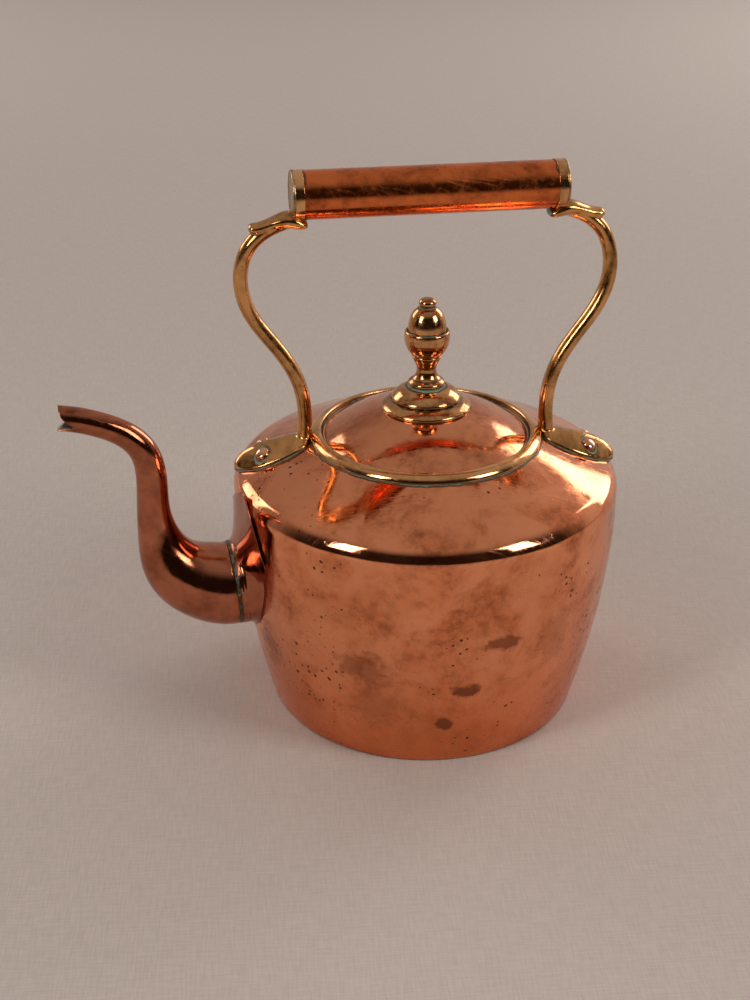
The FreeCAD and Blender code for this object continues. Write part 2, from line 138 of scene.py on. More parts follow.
def offset(outline, inset):
    """Outline moved sideways to its right by inset."""
    run = np.gradient(outline, axis=0)
    run /= np.linalg.norm(run, axis=1)[:, None]
    return outline + inset * np.stack([run[:, 1], -run[:, 0]], 1)


def rounded(corners, radius, count=5):
    """Closed outline of straight edges with rounded corners."""
    corners = np.array(corners, float)
    result = []
    for i, corner in enumerate(corners):
        before = corners[i - 1] - corner
        after = corners[(i + 1) % len(corners)] - corner
        reach = min(radius, 0.45 * np.linalg.norm(before), 0.45 * np.linalg.norm(after))
        start = corner + before / np.linalg.norm(before) * reach
        stop = corner + after / np.linalg.norm(after) * reach
        for share in np.linspace(0.0, 1.0, count):
            bend = start * (1 - share) ** 2 + corner * 2 * share * (1 - share) + stop * share ** 2
            result.append(bend)
    return np.array(result)


# ---------------------------------------------------------------- node tree helpers

def put(tree, kind, *wires, **settings):
    """Add a node. settings are its properties, wires are (input, value or socket) pairs."""
    node = tree.nodes.new(kind)
    for key, value in settings.items():
        setattr(node, key, value)
    for name, value in wires:
        feed(tree, node, name, value)
    return node


def feed(tree, node, name, value):
    if isinstance(value, bpy.types.NodeSocket):
        tree.links.new(value, node.inputs[name])
    else:
        node.inputs[name].default_value = value


def new_group(name, kind, inputs, outputs):
    """A node group with (name, socket type, default) inputs and (name, socket type) outputs."""
    tree = bpy.data.node_groups.new(name, kind)
    for label, socket_kind, value in inputs:
        socket = tree.interface.new_socket(name=label, in_out="INPUT", socket_type=socket_kind)
        if value is not None:
            socket.default_value = value
    for label, socket_kind in outputs:
        tree.interface.new_socket(name=label, in_out="OUTPUT", socket_type=socket_kind)
    source = tree.nodes.new("NodeGroupInput")
    sink = tree.nodes.new("NodeGroupOutput")
    return tree, source.outputs, sink


def maths(tree, operation, a, b=None, c=None, clamp=False):
    node = put(tree, "ShaderNodeMath", (0, a), operation=operation, use_clamp=clamp)
    if b is not None:
        feed(tree, node, 1, b)
    if c is not None:
        feed(tree, node, 2, c)
    return node.outputs[0]


def ramp(tree, value, low, high, to_low=0.0, to_high=1.0):
    """Value between low and high spread smoothly over to_low to to_high."""
    node = put(tree, "ShaderNodeMapRange", ("Value", value), ("From Min", low), ("From Max", high),
               ("To Min", to_low), ("To Max", to_high), interpolation_type="SMOOTHSTEP")
    return node.outputs["Result"]


def mix_colour(tree, share, first, second, blend="MIX"):
    node = put(tree, "ShaderNodeMix", data_type="RGBA", blend_type=blend)
    feed(tree, node, 0, share)
    feed(tree, node, 6, first)
    feed(tree, node, 7, second)
    return node.outputs[2]


def grain(tree, position, scale, detail=2.0, roughness=0.5, distortion=0.0):
    node = put(tree, "ShaderNodeTexNoise", ("Vector", position), ("Scale", scale), ("Detail", detail),
               ("Roughness", roughness), ("Distortion", distortion))
    return node.outputs["Fac"]


# ---------------------------------------------------------------- finish groups

FLOAT = "NodeSocketFloat"
VECTOR = "NodeSocketVector"
COLOUR = "NodeSocketColor"


def make_patina():
    """Cloudy heat and handling stains: a soft broad mask and a finer one."""
    tree, given, sink = new_group("patina_clouds", "ShaderNodeTree",
                                  [("Position", VECTOR, None), ("Cloud Size", FLOAT, 30.0)],
                                  [("Broad", FLOAT), ("Fine", FLOAT)])
    scale = maths(tree, "DIVIDE", 1000.0, given["Cloud Size"])
    broad = grain(tree, given["Position"], scale, 5.0, 0.62, 0.6)
    finer = grain(tree, given["Position"], maths(tree, "MULTIPLY", scale, 5.2), 6.0, 0.7, 0.3)
    feed(tree, sink, "Broad", ramp(tree, broad, 0.38, 0.68))
    feed(tree, sink, "Fine", ramp(tree, finer, 0.36, 0.7))
    return tree


def make_hairlines():
    """Fine rubbing scratches that run in several directions."""
    tree, given, sink = new_group("hairline_scratches", "ShaderNodeTree",
                                  [("Position", VECTOR, None), ("Fineness", FLOAT, 1.0)],
                                  [("Lines", FLOAT)])
    total = 0.0
    for turn, width in ((0.3, 900.0), (1.25, 1300.0), (2.2, 1000.0), (-0.5, 1600.0)):
        turned_at = put(tree, "ShaderNodeMapping", ("Vector", given["Position"]),
                        ("Rotation", (turn, turn * 1.7, turn * 0.6)), ("Scale", (0.035, 1.0, 0.07)))
        scale = maths(tree, "MULTIPLY", given["Fineness"], width)
        lines = grain(tree, turned_at.outputs[0], scale, 1.0, 0.4)
        total = maths(tree, "ADD", total, ramp(tree, lines, 0.64, 0.74))
    feed(tree, sink, "Lines", maths(tree, "MULTIPLY", total, 0.6, clamp=True))
    return tree


def make_pits():
    """Scattered dark specks and pits of uneven size, thicker in some places than in others."""
    tree, given, sink = new_group("pits", "ShaderNodeTree",
                                  [("Position", VECTOR, None), ("Spacing", FLOAT, 3.0),
                                   ("Amount", FLOAT, 0.3)],
                                  [("Specks", FLOAT)])
    scale = maths(tree, "DIVIDE", 1000.0, given["Spacing"])
    wander = put(tree, "ShaderNodeTexNoise", ("Vector", given["Position"]), ("Scale", 300.0))
    bent = put(tree, "ShaderNodeVectorMath", (0, wander.outputs["Color"]), (1, (0.0016, 0.0016, 0.0016)),
               operation="MULTIPLY")
    moved = put(tree, "ShaderNodeVectorMath", (0, given["Position"]), (1, bent.outputs[0]), operation="ADD")
    cells = put(tree, "ShaderNodeTexVoronoi", ("Vector", moved.outputs[0]), ("Scale", scale))
    pick = put(tree, "ShaderNodeSeparateColor", ("Color", cells.outputs["Color"]))
    crowd = ramp(tree, grain(tree, given["Position"], 22.0, 3.0, 0.6), 0.42, 0.72, 0.1, 1.0)
    size = maths(tree, "MULTIPLY", maths(tree, "MULTIPLY", pick.outputs[0], given["Amount"]), crowd)
    speck = maths(tree, "SUBTRACT", size, cells.outputs["Distance"])
    feed(tree, sink, "Specks", ramp(tree, speck, -0.02, 0.06))
    return tree


def make_stain():
    """One dark blotch with a ragged edge at a place on the surface."""
    tree, given, sink = new_group("stain", "ShaderNodeTree",
                                  [("Position", VECTOR, None), ("Centre", VECTOR, None),
                                   ("Reach", VECTOR, None)],
                                  [("Mask", FLOAT)])
    away = put(tree, "ShaderNodeVectorMath", (0, given["Position"]), (1, given["Centre"]),
               operation="SUBTRACT")
    share = put(tree, "ShaderNodeVectorMath", (0, away.outputs[0]), (1, given["Reach"]), operation="DIVIDE")
    length = put(tree, "ShaderNodeVectorMath", (0, share.outputs[0]), operation="LENGTH")
    ragged = grain(tree, given["Position"], 110.0, 6.0, 0.72, 0.4)
    edge = maths(tree, "MULTIPLY_ADD", ragged, 1.9, -0.35)
    gone = maths(tree, "SUBTRACT", edge, length.outputs["Value"])
    feed(tree, sink, "Mask", ramp(tree, gone, -0.22, 0.22))
    return tree


def make_verdigris():
    """Pale green and dark crust gathered along the painted joints of a piece."""
    tree, given, sink = new_group("verdigris", "ShaderNodeTree",
                                  [("Position", VECTOR, None), ("Joint", FLOAT, 0.0), ("Amount", FLOAT, 1.0)],
                                  [("Green", FLOAT), ("Dark", FLOAT), ("Colour", COLOUR)])
    patch = grain(tree, given["Position"], 260.0, 4.0, 0.65, 0.3)
    gathered = maths(tree, "MULTIPLY", given["Joint"], given["Amount"])
    level = maths(tree, "ADD", gathered, maths(tree, "MULTIPLY_ADD", patch, 0.9, -0.5))
    feed(tree, sink, "Green", ramp(tree, level, 0.62, 0.9))
    feed(tree, sink, "Dark", ramp(tree, level, 0.2, 0.6))
    tone = grain(tree, given["Position"], 700.0, 3.0, 0.6)
    feed(tree, sink, "Colour", mix_colour(tree, tone, (0.10, 0.20, 0.15, 1), (0.36, 0.50, 0.40, 1)))
    return tree


def make_linen():
    """Plain weave with slubs: a height and a shade that change from thread to thread."""
    tree, given, sink = new_group("linen_weave", "ShaderNodeTree",
                                  [("Position", VECTOR, None), ("Threads", FLOAT, 900.0)],
                                  [("Height", FLOAT), ("Shade", FLOAT)])
    total = 0.0
    shade = 0.0
    for stretch in ((1.0, 0.07, 1.0), (0.07, 1.0, 1.0)):
        run = put(tree, "ShaderNodeMapping", ("Vector", given["Position"]), ("Scale", stretch))
        thread = grain(tree, run.outputs[0], given["Threads"], 2.0, 0.6)
        total = maths(tree, "ADD", total, thread)
        slub = grain(tree, run.outputs[0], maths(tree, "MULTIPLY", given["Threads"], 0.4), 3.0, 0.6)
        shade = maths(tree, "ADD", shade, slub)
    feed(tree, sink, "Height", total)
    feed(tree, sink, "Shade", maths(tree, "MULTIPLY", shade, 0.5))
    return tree


GROUPS = {"patina": make_patina(), "hairlines": make_hairlines(), "pits": make_pits(), "stain": make_stain(),
          "verdigris": make_verdigris(), "linen": make_linen()}


def use(tree, group, *wires):
    node = put(tree, "ShaderNodeGroup", node_tree=GROUPS[group])
    for name, value in wires:
        feed(tree, node, name, value)
    return node.outputs


# ---------------------------------------------------------------- materials

def metal(name, bright, warm, dark, roughness, cloud=32.0, tarnish=0.5, specks=0.3, speck_gap=3.2,
          lines=0.35, green=1.0, stains=(), painted_low_glow=None, seed=0.0):
    """Old hand-polished metal. Colours run from bright through warm to dark with the patina."""
    material = bpy.data.materials.new(name)
    material.use_nodes = True
    tree = material.node_tree
    shader = tree.nodes["Principled BSDF"]
    where = put(tree, "ShaderNodeTexCoord").outputs["Object"]
    shifted = put(tree, "ShaderNodeMapping", ("Vector", where), ("Location", (seed, seed * 0.7, 0.0)))
    place = shifted.outputs[0]
    clouds = use(tree, "patina", ("Position", place), ("Cloud Size", cloud))
    scratch = use(tree, "hairlines", ("Position", place))["Lines"]
    speck = use(tree, "pits", ("Position", place), ("Spacing", speck_gap), ("Amount", specks))["Specks"]
    joint = put(tree, "ShaderNodeAttribute", attribute_name="joint")
    crust = use(tree, "verdigris", ("Position", where), ("Joint", joint.outputs["Fac"]), ("Amount", green))

    colour = mix_colour(tree, maths(tree, "MULTIPLY", clouds["Broad"], tarnish), bright, warm)
    shade = maths(tree, "MULTIPLY", maths(tree, "MULTIPLY", clouds["Fine"], clouds["Broad"]), tarnish)
    colour = mix_colour(tree, shade, colour, dark)
    rough = ramp(tree, clouds["Fine"], 0.0, 1.0, roughness[0], roughness[1])
    # painted reflection: towards the foot the colour turns deeper orange, a painted glow of the floor
    # reflected in the lower wall; the roughness drop on the dome is a real finish change
    if painted_low_glow:
        height = put(tree, "ShaderNodeSeparateXYZ", ("Vector", where)).outputs["Z"]
        low = ramp(tree, height, 0.075, 0.0)
        colour = mix_colour(tree, maths(tree, "MULTIPLY", low, 0.75), colour, painted_low_glow)
        rough = maths(tree, "MULTIPLY", rough, ramp(tree, height, 0.106, 0.12, 1.0, 0.42))
    for centre, reach, depth in stains:
        mask = use(tree, "stain", ("Position", where), ("Centre", centre), ("Reach", reach))["Mask"]
        share = maths(tree, "MULTIPLY", mask, depth)
        colour = mix_colour(tree, share, colour, dark)
        rough = maths(tree, "ADD", rough, maths(tree, "MULTIPLY", share, 0.18))
    colour = mix_colour(tree, maths(tree, "MULTIPLY", speck, 0.85), colour, (0.035, 0.014, 0.008, 1))
    crusted = maths(tree, "MULTIPLY", crust["Dark"], 0.85)
    colour = mix_colour(tree, crusted, colour, (0.05, 0.026, 0.014, 1))
    colour = mix_colour(tree, crust["Green"], colour, crust["Colour"])
    feed(tree, shader, "Base Color", colour)

    rough = maths(tree, "ADD", rough, maths(tree, "MULTIPLY", scratch, 0.10 * lines / 0.35))
    rough = maths(tree, "ADD", rough, maths(tree, "MULTIPLY", crusted, 0.25))
    rough = maths(tree, "ADD", rough, maths(tree, "MULTIPLY", crust["Green"], 0.35), clamp=True)
    feed(tree, shader, "Roughness", rough)
    feed(tree, shader, "Metallic", maths(tree, "SUBTRACT", 1.0, crust["Green"]))

    height = maths(tree, "MULTIPLY", scratch, -lines)
    height = maths(tree, "ADD", height, maths(tree, "MULTIPLY", speck, -1.2))
    height = maths(tree, "ADD", height, maths(tree, "MULTIPLY", crust["Green"], 1.5))
    height = maths(tree, "ADD", height, maths(tree, "MULTIPLY", clouds["Fine"], 0.25))
    bump = put(tree, "ShaderNodeBump", ("Height", height), ("Distance", 0.00003), ("Strength", 0.6))
    feed(tree, shader, "Normal", bump.outputs[0])
    return material


BRIGHT_COPPER = (0.95, 0.37, 0.18, 1)
WARM_COPPER = (0.80, 0.235, 0.09, 1)
BROWN_COPPER = (0.30, 0.09, 0.04, 1)
# painted glow colour for the lower wall, standing in for the floor reflected in it
PAINTED_LOW_GLOW_COPPER = (0.76, 0.21, 0.07, 1)
BRIGHT_BRASS = (0.73, 0.38, 0.14, 1)
WARM_BRASS = (0.47, 0.22, 0.07, 1)
BROWN_BRASS = (0.22, 0.11, 0.04, 1)

BELLY_STAINS = (
    ((0.030, -0.097, 0.077), (0.018, 0.03, 0.006), 0.85),
    ((0.012, -0.094, 0.050), (0.012, 0.03, 0.007), 1.0),
    ((0.002, -0.092, 0.028), (0.007, 0.03, 0.007), 1.0),
    ((-0.040, -0.090, 0.062), (0.020, 0.03, 0.016), 0.55),
    ((-0.034, -0.090, 0.036), (0.026, 0.03, 0.022), 0.32),
    ((0.060, -0.080, 0.070), (0.016, 0.03, 0.024), 0.28),
    ((-0.085, -0.045, 0.050), (0.010, 0.02, 0.022), 0.55),
)

FINISHES = {
    # the body's lower wall carries the painted floor-reflection glow
    "body": metal("polished_copper", BRIGHT_COPPER, WARM_COPPER, BROWN_COPPER, (0.13, 0.30), cloud=30.0,
                  tarnish=0.75, specks=0.38, stains=BELLY_STAINS, painted_low_glow=PAINTED_LOW_GLOW_COPPER),
    "lid": metal("lid_copper", (0.84, 0.33, 0.16, 1), (0.62, 0.20, 0.085, 1), BROWN_COPPER, (0.07, 0.20),
                 cloud=26.0, tarnish=0.75, specks=0.26, speck_gap=2.6, seed=0.4),
    "spout": metal("spout_copper", (0.52, 0.18, 0.095, 1), (0.34, 0.11, 0.058, 1), BROWN_COPPER, (0.07, 0.18),
                   cloud=24.0, tarnish=0.9, specks=0.24, seed=0.8),
    "tube": metal("tube_copper", (0.78, 0.20, 0.055, 1), (0.54, 0.12, 0.032, 1), (0.22, 0.055, 0.022, 1),
                  (0.14, 0.30), cloud=22.0, tarnish=0.9, specks=0.30, speck_gap=2.2, lines=0.6, seed=1.3),
    "knob": metal("knob_copper", (0.74, 0.38, 0.16, 1), (0.48, 0.21, 0.08, 1), (0.16, 0.06, 0.03, 1),
                  (0.09, 0.22), cloud=14.0, tarnish=0.8, specks=0.25, speck_gap=2.0, seed=1.9),
    "brass": metal("old_brass", BRIGHT_BRASS, WARM_BRASS, BROWN_BRASS, (0.11, 0.26), cloud=18.0,
                   tarnish=0.85, specks=0.32, speck_gap=2.2, seed=2.3),
    "ring": metal("ring_brass", (0.86, 0.47, 0.21, 1), (0.62, 0.29, 0.10, 1), BROWN_BRASS, (0.09, 0.22),
                  cloud=24.0, tarnish=0.7, specks=0.25, speck_gap=2.4, seed=2.9),
    "rivet": metal("rivet_copper", (0.90, 0.50, 0.32, 1), WARM_COPPER, BROWN_COPPER, (0.10, 0.22), cloud=6.0,
                   tarnish=0.5, specks=0.2, speck_gap=1.6, seed=3.3),
    "tin": metal("old_tinning", (0.52, 0.50, 0.45, 1), (0.36, 0.33, 0.28, 1), (0.12, 0.10, 0.08, 1),
                 (0.35, 0.6), cloud=16.0, tarnish=0.9, specks=0.4, speck_gap=2.4, seed=3.9),
    "cap": metal("cap_brass", (0.50, 0.33, 0.17, 1), (0.34, 0.21, 0.10, 1), BROWN_BRASS, (0.22, 0.4),
                 cloud=10.0, tarnish=0.7, specks=0.25, speck_gap=2.0, seed=4.3),
}


# ---------------------------------------------------------------- geometry trees

def make_turning():
    """Turns an outline, drawn as radius and depth, into a surface of revolution about Z."""
    tree, given, sink = new_group("turned_piece", "GeometryNodeTree",
                                  [("Outline", "NodeSocketGeometry", None), ("Steps", "NodeSocketInt", 128),
                                   ("Bar Radius", FLOAT, 0.01), ("Pole Gap", FLOAT, 0.000002),
                                   ("Finish", "NodeSocketMaterial", None)],
                                  [("Piece", "NodeSocketGeometry")])
    circle = put(tree, "GeometryNodeCurvePrimitiveCircle", ("Resolution", given["Steps"]),
                 ("Radius", given["Bar Radius"]))
    skin = put(tree, "GeometryNodeCurveToMesh", ("Curve", circle.outputs[0]),
               ("Profile Curve", given["Outline"]))
    closed = put(tree, "GeometryNodeMergeByDistance", ("Geometry", skin.outputs[0]),
                 ("Distance", given["Pole Gap"]))
    smooth = put(tree, "GeometryNodeSetShadeSmooth", ("Geometry", closed.outputs[0]))
    plain = put(tree, "GeometryNodeRealizeInstances", ("Geometry", smooth.outputs[0]))
    painted = put(tree, "GeometryNodeSetMaterial", ("Geometry", plain.outputs[0]),
                  ("Material", given["Finish"]))
    feed(tree, sink, "Piece", painted.outputs[0])
    return tree


def make_riveting():
    """Domed rivets with shank and inner button, one on each point, standing along its axis attribute."""
    tree, given, sink = new_group("rivets_on_points", "GeometryNodeTree",
                                  [("Places", "NodeSocketGeometry", None), ("Head Radius", FLOAT, 0.0036),
                                   ("Head Height", FLOAT, 0.0015), ("Shank Radius", FLOAT, 0.0019),
                                   ("Grip", FLOAT, 0.006), ("Button Height", FLOAT, 0.0013),
                                   ("Unevenness", FLOAT, 0.05), ("Seed", "NodeSocketInt", 7),
                                   ("Finish", "NodeSocketMaterial", None)],
                                  [("Piece", "NodeSocketGeometry")])
    ball = put(tree, "GeometryNodeMeshUVSphere", ("Segments", 40), ("Rings", 20), ("Radius", 1.0))
    head_size = put(tree, "ShaderNodeCombineXYZ", ("X", given["Head Radius"]), ("Y", given["Head Radius"]),
                    ("Z", given["Head Height"]))
    head = put(tree, "GeometryNodeTransform", ("Geometry", ball.outputs[0]), ("Scale", head_size.outputs[0]))
    down = maths(tree, "MULTIPLY", given["Grip"], -1.0)
    sunk = put(tree, "ShaderNodeCombineXYZ", ("Z", down))
    button_size = put(tree, "ShaderNodeCombineXYZ", ("X", given["Head Radius"]), ("Y", given["Head Radius"]),
                      ("Z", given["Button Height"]))
    button = put(tree, "GeometryNodeTransform", ("Geometry", ball.outputs[0]),
                 ("Translation", sunk.outputs[0]), ("Scale", button_size.outputs[0]))
    shank = put(tree, "GeometryNodeMeshCylinder", ("Vertices", 24), ("Radius", given["Shank Radius"]),
                ("Depth", given["Grip"]))
    halfway = put(tree, "ShaderNodeCombineXYZ", ("Z", maths(tree, "MULTIPLY", down, 0.5)))
    set_in = put(tree, "GeometryNodeTransform", ("Geometry", shank.outputs[0]),
                 ("Translation", halfway.outputs[0]))
    whole = put(tree, "GeometryNodeJoinGeometry")
    for piece in (head, button, set_in):
        tree.links.new(piece.outputs[0], whole.inputs[0])
    axis = put(tree, "GeometryNodeInputNamedAttribute", ("Name", "axis"), data_type="FLOAT_VECTOR")
    upright = put(tree, "FunctionNodeAlignRotationToVector", ("Vector", axis.outputs[0]), axis="Z")
    least = maths(tree, "SUBTRACT", 1.0, given["Unevenness"])
    uneven = put(tree, "FunctionNodeRandomValue", data_type="FLOAT")
    feed(tree, uneven, 2, least)
    feed(tree, uneven, 3, 1.0)
    feed(tree, uneven, "Seed", given["Seed"])
    placed = put(tree, "GeometryNodeInstanceOnPoints", ("Points", given["Places"]),
                 ("Instance", whole.outputs[0]), ("Rotation", upright.outputs[0]),
                 ("Scale", uneven.outputs[1]))
    real = put(tree, "GeometryNodeRealizeInstances", ("Geometry", placed.outputs[0]))
    smooth = put(tree, "GeometryNodeSetShadeSmooth", ("Geometry", real.outputs[0]))
    painted = put(tree, "GeometryNodeSetMaterial", ("Geometry", smooth.outputs[0]),
                  ("Material", given["Finish"]))
    feed(tree, sink, "Piece", painted.outputs[0])
    return tree


TREES = {"turning": make_turning(), "riveting": make_riveting()}


def grown(source, tree, settings):
    """Plain mesh that a geometry tree makes from source, with its inputs set by socket identifier."""
    modifier = source.modifiers.new("grow", "NODES")
    modifier.node_group = tree
    identifiers = {item.name: item.identifier for item in tree.interface.items_tree
                   if item.item_type == "SOCKET" and item.in_out == "INPUT"}
    for name, value in settings.items():
        modifier[identifiers[name]] = value
    source.update_tag()
    bpy.context.view_layer.update()
    graph = bpy.context.evaluated_depsgraph_get()
    mesh = bpy.data.meshes.new_from_object(source.evaluated_get(graph), depsgraph=graph)
    source.modifiers.remove(modifier)
    return mesh


def link(name, mesh):
    piece = bpy.data.objects.new(name, mesh)
    mesh.name = name
    bpy.context.scene.collection.objects.link(piece)
    return piece


def points_of(piece):
    spots = np.empty(len(piece.data.vertices) * 3)
    piece.data.vertices.foreach_get("co", spots)
    return spots.reshape(-1, 3) / MM


def move_points(piece, spots):
    piece.data.vertices.foreach_set("co", (spots * MM).ravel())
    piece.data.update()


def turn(name, outline, finish, steps=160, closed=True):
    """Turned piece from an outline of (radius, height) that runs downwards on its outer side."""
    bar = 10.0
    curve = bpy.data.curves.new(name + "_outline", "CURVE")
    curve.dimensions = "3D"
    line = curve.splines.new("POLY")
    line.points.add(len(outline) - 1)
    for point, (radius, height) in zip(line.points, outline):
        point.co = ((radius - bar) * MM, -height * MM, 0.0, 1.0)
    line.use_cyclic_u = closed
    source = bpy.data.objects.new(name + "_outline", curve)
    bpy.context.scene.collection.objects.link(source)
    settings = {"Steps": steps, "Bar Radius": bar * MM, "Finish": FINISHES[finish]}
    mesh = grown(source, TREES["turning"], settings)
    bpy.data.objects.remove(source)
    bpy.data.curves.remove(curve)
    return link(name, mesh)


def grid_faces(rows, columns, around=True):
    faces = []
    for row in range(rows - 1):
        for column in range(columns if around else columns - 1):
            after = (column + 1) % columns
            faces.append((row * columns + column, row * columns + after,
                          (row + 1) * columns + after, (row + 1) * columns + column))
    return faces


def loft(name, rings, finish, ends=True, around=False):
    """Skin through rings of points, closed by flat ends, or joined last to first."""
    rings = np.array(rings)
    rows, columns = rings.shape[:2]
    faces = grid_faces(rows, columns)
    if around:
        last = (rows - 1) * columns
        for column in range(columns):
            after = (column + 1) % columns
            faces.append((last + column, last + after, after, column))
    elif ends:
        faces.append(tuple(reversed(range(columns))))
        faces.append(tuple(range((rows - 1) * columns, rows * columns)))
    mesh = bpy.data.meshes.new(name)
    mesh.from_pydata((rings.reshape(-1, 3) * MM).tolist(), [], faces)
    mesh.materials.append(FINISHES[finish])
    piece = link(name, mesh)
    outward(piece)
    return piece


def outward(piece):
    """Merge doubles, point the faces outwards and shade smooth."""
    work = bmesh.new()
    work.from_mesh(piece.data)
    bmesh.ops.remove_doubles(work, verts=work.verts, dist=0.000002)
    bmesh.ops.recalc_face_normals(work, faces=work.faces)
    for face in work.faces:
        face.smooth = True
    work.to_mesh(piece.data)
    work.free()


def finished(piece, body, slot, *nodes):
    """Hang a finished piece on its body, in place of the CAD nodes it stands for."""
    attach(piece, body)
    if nodes:
        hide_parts(*nodes)
    return piece


def paint_joint(piece, amount):
    """Store how much grime gathers at each point, 0 to 1, from a function of the points in mm."""
    values = np.clip(amount(points_of(piece)), 0.0, 1.0)
    layer = piece.data.attributes.new("joint", "FLOAT", "POINT")
    layer.data.foreach_set("value", values.astype(np.float32))


def near(value, target, width):
    return np.clip(1.0 - np.abs(value - target) / width, 0.0, 1.0)


def radius_of(spots):
    return np.hypot(spots[:, 0], spots[:, 1])


def hand_worked(piece, depth, size, seed, direction=None):
    """Soft hammer and handling unevenness, moved along the surface away from the axis."""
    spots = points_of(piece)
    moved = spots.copy()
    for i, spot in enumerate(spots):
        shift = noise.noise(Vector(spot / size) + Vector((seed, seed, seed)))
        shift += 0.35 * noise.noise(Vector(spot / size * 2.7) + Vector((seed, 0.0, seed)))
        way = spot * np.array([1.0, 1.0, 0.25]) if direction is None else np.array(direction)
        length = np.linalg.norm(way)
        if length > 0.001:
            moved[i] = spot + way / length * (shift - 0.6) * depth
    move_points(piece, moved)


def dent(piece, centre, reach, depth, way):
    """Push a soft hollow into the sheet around centre."""
    spots = points_of(piece)
    away = np.linalg.norm((spots - np.array(centre)) / np.array(reach), axis=1)
    spots += np.exp(-away ** 2)[:, None] * depth * np.array(way)
    move_points(piece, spots)


# ---------------------------------------------------------------- body

def wall_radius(z):
    """Side of the body: swelling from the foot to the belly."""
    return BELLY_R - (BELLY_R - BASE_R) * (np.maximum(BELLY_Z - z, 0.0) / BELLY_Z) ** 1.75


def shoulder_angle():
    """Elevation at which the shoulder arc runs into the straight dome."""
    dx = RIM_R - (BELLY_R - SHOULDER_R)
    dz = RIM_Z - SHOULDER_Z
    return math.atan2(dz, dx) - math.acos(SHOULDER_R / math.hypot(dx, dz))


def dome_height(radius):
    """Outer face of the dome at a radius inside the shoulder."""
    top = shoulder_angle()
    end_r = BELLY_R - SHOULDER_R + SHOULDER_R * math.cos(top)
    end_z = SHOULDER_Z + SHOULDER_R * math.sin(top)
    return end_z + (end_r - radius) / math.tan(top)


def body_outline(stop_r):
    """Outer skin from radius stop_r on the dome down to the foot."""
    top = shoulder_angle()
    bend = arc((BELLY_R - SHOULDER_R, SHOULDER_Z), SHOULDER_R, math.degrees(top), 0.0, 22)
    dome_r = np.linspace(stop_r, bend[0][0], 26)[:-1]
    dome = np.stack([dome_r, dome_height(dome_r)], 1)
    heights = np.linspace(SHOULDER_Z, 1.4, 58)[1:]
    wall = np.stack([wall_radius(heights), heights], 1)
    return joined(dome, bend, wall)


def build_body():
    outer = body_outline(MOUTH_R)
    inner = offset(outer, SHEET)[::-1]
    foot_round = [(BASE_R - 0.05, 0.7), (BASE_R - 0.35, 0.2), (BASE_R - 0.9, 0.0)]
    outline = joined(outer, foot_round, inner)
    piece = turn("kettle_body", outline, "body", steps=288)
    hand_worked(piece, 0.16, 22.0, 3.0)
    dent(piece, (70.0, -68.0, 133.0), (26.0, 22.0, 14.0), 0.9, (-0.5, 0.5, -0.7))
    dent(piece, (48.0, -84.0, 132.0), (14.0, 10.0, 8.0), 0.5, (-0.3, 0.6, -0.7))
    dent(piece, (-20.0, -95.0, 130.0), (18.0, 8.0, 9.0), 0.35, (0.1, 0.6, -0.7))
    cut_bore(piece)
    foot_marks = lambda p: near(radius_of(p), RIM_R, 1.6) * 0.75 * (p[:, 2] > 140.0)
    paint_joint(piece, lambda p: foot_marks(p) + near(p[:, 2], 0.0, 1.6) * 0.5)
    return finished(piece, "kettle", "copper", "body_shell")


def cut_bore(piece):
    """Open the wall where the spout leaves it."""
    start = seam_spot(0.0, 0.0, -45.0)
    stop = seam_spot(0.0, 0.0, 8.0)
    rings = []
    for centre in (start, stop):
        angles = np.linspace(0.0, 2 * math.pi, 64, endpoint=False)
        ring = [centre + ring_step(angle, BORE_R) for angle in angles]
        rings.append(ring)
    drill = loft("drill", rings, "body")
    cut = piece.modifiers.new("bore", "BOOLEAN")
    cut.object = drill
    cut.solver = "EXACT"
    bpy.context.view_layer.update()
    graph = bpy.context.evaluated_depsgraph_get()
    mesh = bpy.data.meshes.new_from_object(piece.evaluated_get(graph), depsgraph=graph)
    piece.modifiers.clear()
    piece.data = mesh
    bpy.data.objects.remove(drill)


def ring_step(angle, radius):
    """Step from the seam centre to its rim in the leaning seam plane."""
    across = spout_point(0.0, radius * math.cos(angle) - SPOUT_OFFSET, 0.0)
    up = seam_spot(0.0, radius * math.sin(angle), 0.0) - seam_spot(0.0, 0.0, 0.0)
    return across + up


def build_base():
    floor_r = BASE_R - SHEET - EMBED
    outline = [(0.0, 1.7), (floor_r - 3.0, 1.7), (floor_r - 1.6, 2.2), (floor_r - 1.2, 8.0), (floor_r, 8.0),
               (floor_r - 0.1, 0.4), (floor_r - 0.8, 0.0), (0.0, 0.25)]
    piece = turn("base_disc", outline, "body", closed=False)
    outward(piece)
    paint_joint(piece, lambda p: near(radius_of(p), floor_r, 2.0) * 0.6)
    return finished(piece, "kettle", "copper", "base_plate")


def build_ring():
    seat_r = 50.6
    crest = spline([(RING_INNER_R + 0.1, 151.5), (54.9, 152.2), (55.8, 152.6), (57.0, 152.45), (58.3, 151.95),
                    (59.6, 151.1), (60.5, 149.9), (60.85, 148.5), (60.7, 147.6)], 30)
    under = [(58.6, 147.3), (57.0, 147.25), (51.2, 147.2), (seat_r, 147.5)]
    seat = [(seat_r, 149.8), (51.0, 150.2), (54.1, 150.2), (RING_INNER_R, 150.5)]
    piece = turn("rim_ring_brass", joined(crest, under, seat), "ring", steps=256)
    hand_worked(piece, 0.05, 16.0, 9.0)

    def grime(p):
        inner = near(radius_of(p), RING_INNER_R, 0.7) * (p[:, 2] < 152.2)
        outer = near(p[:, 2], 148.0, 1.5) * (radius_of(p) > 59.5)
        return inner * 0.7 + outer * 1.1

    paint_joint(piece, grime)
    return finished(piece, "kettle", "brass", "rim_ring")


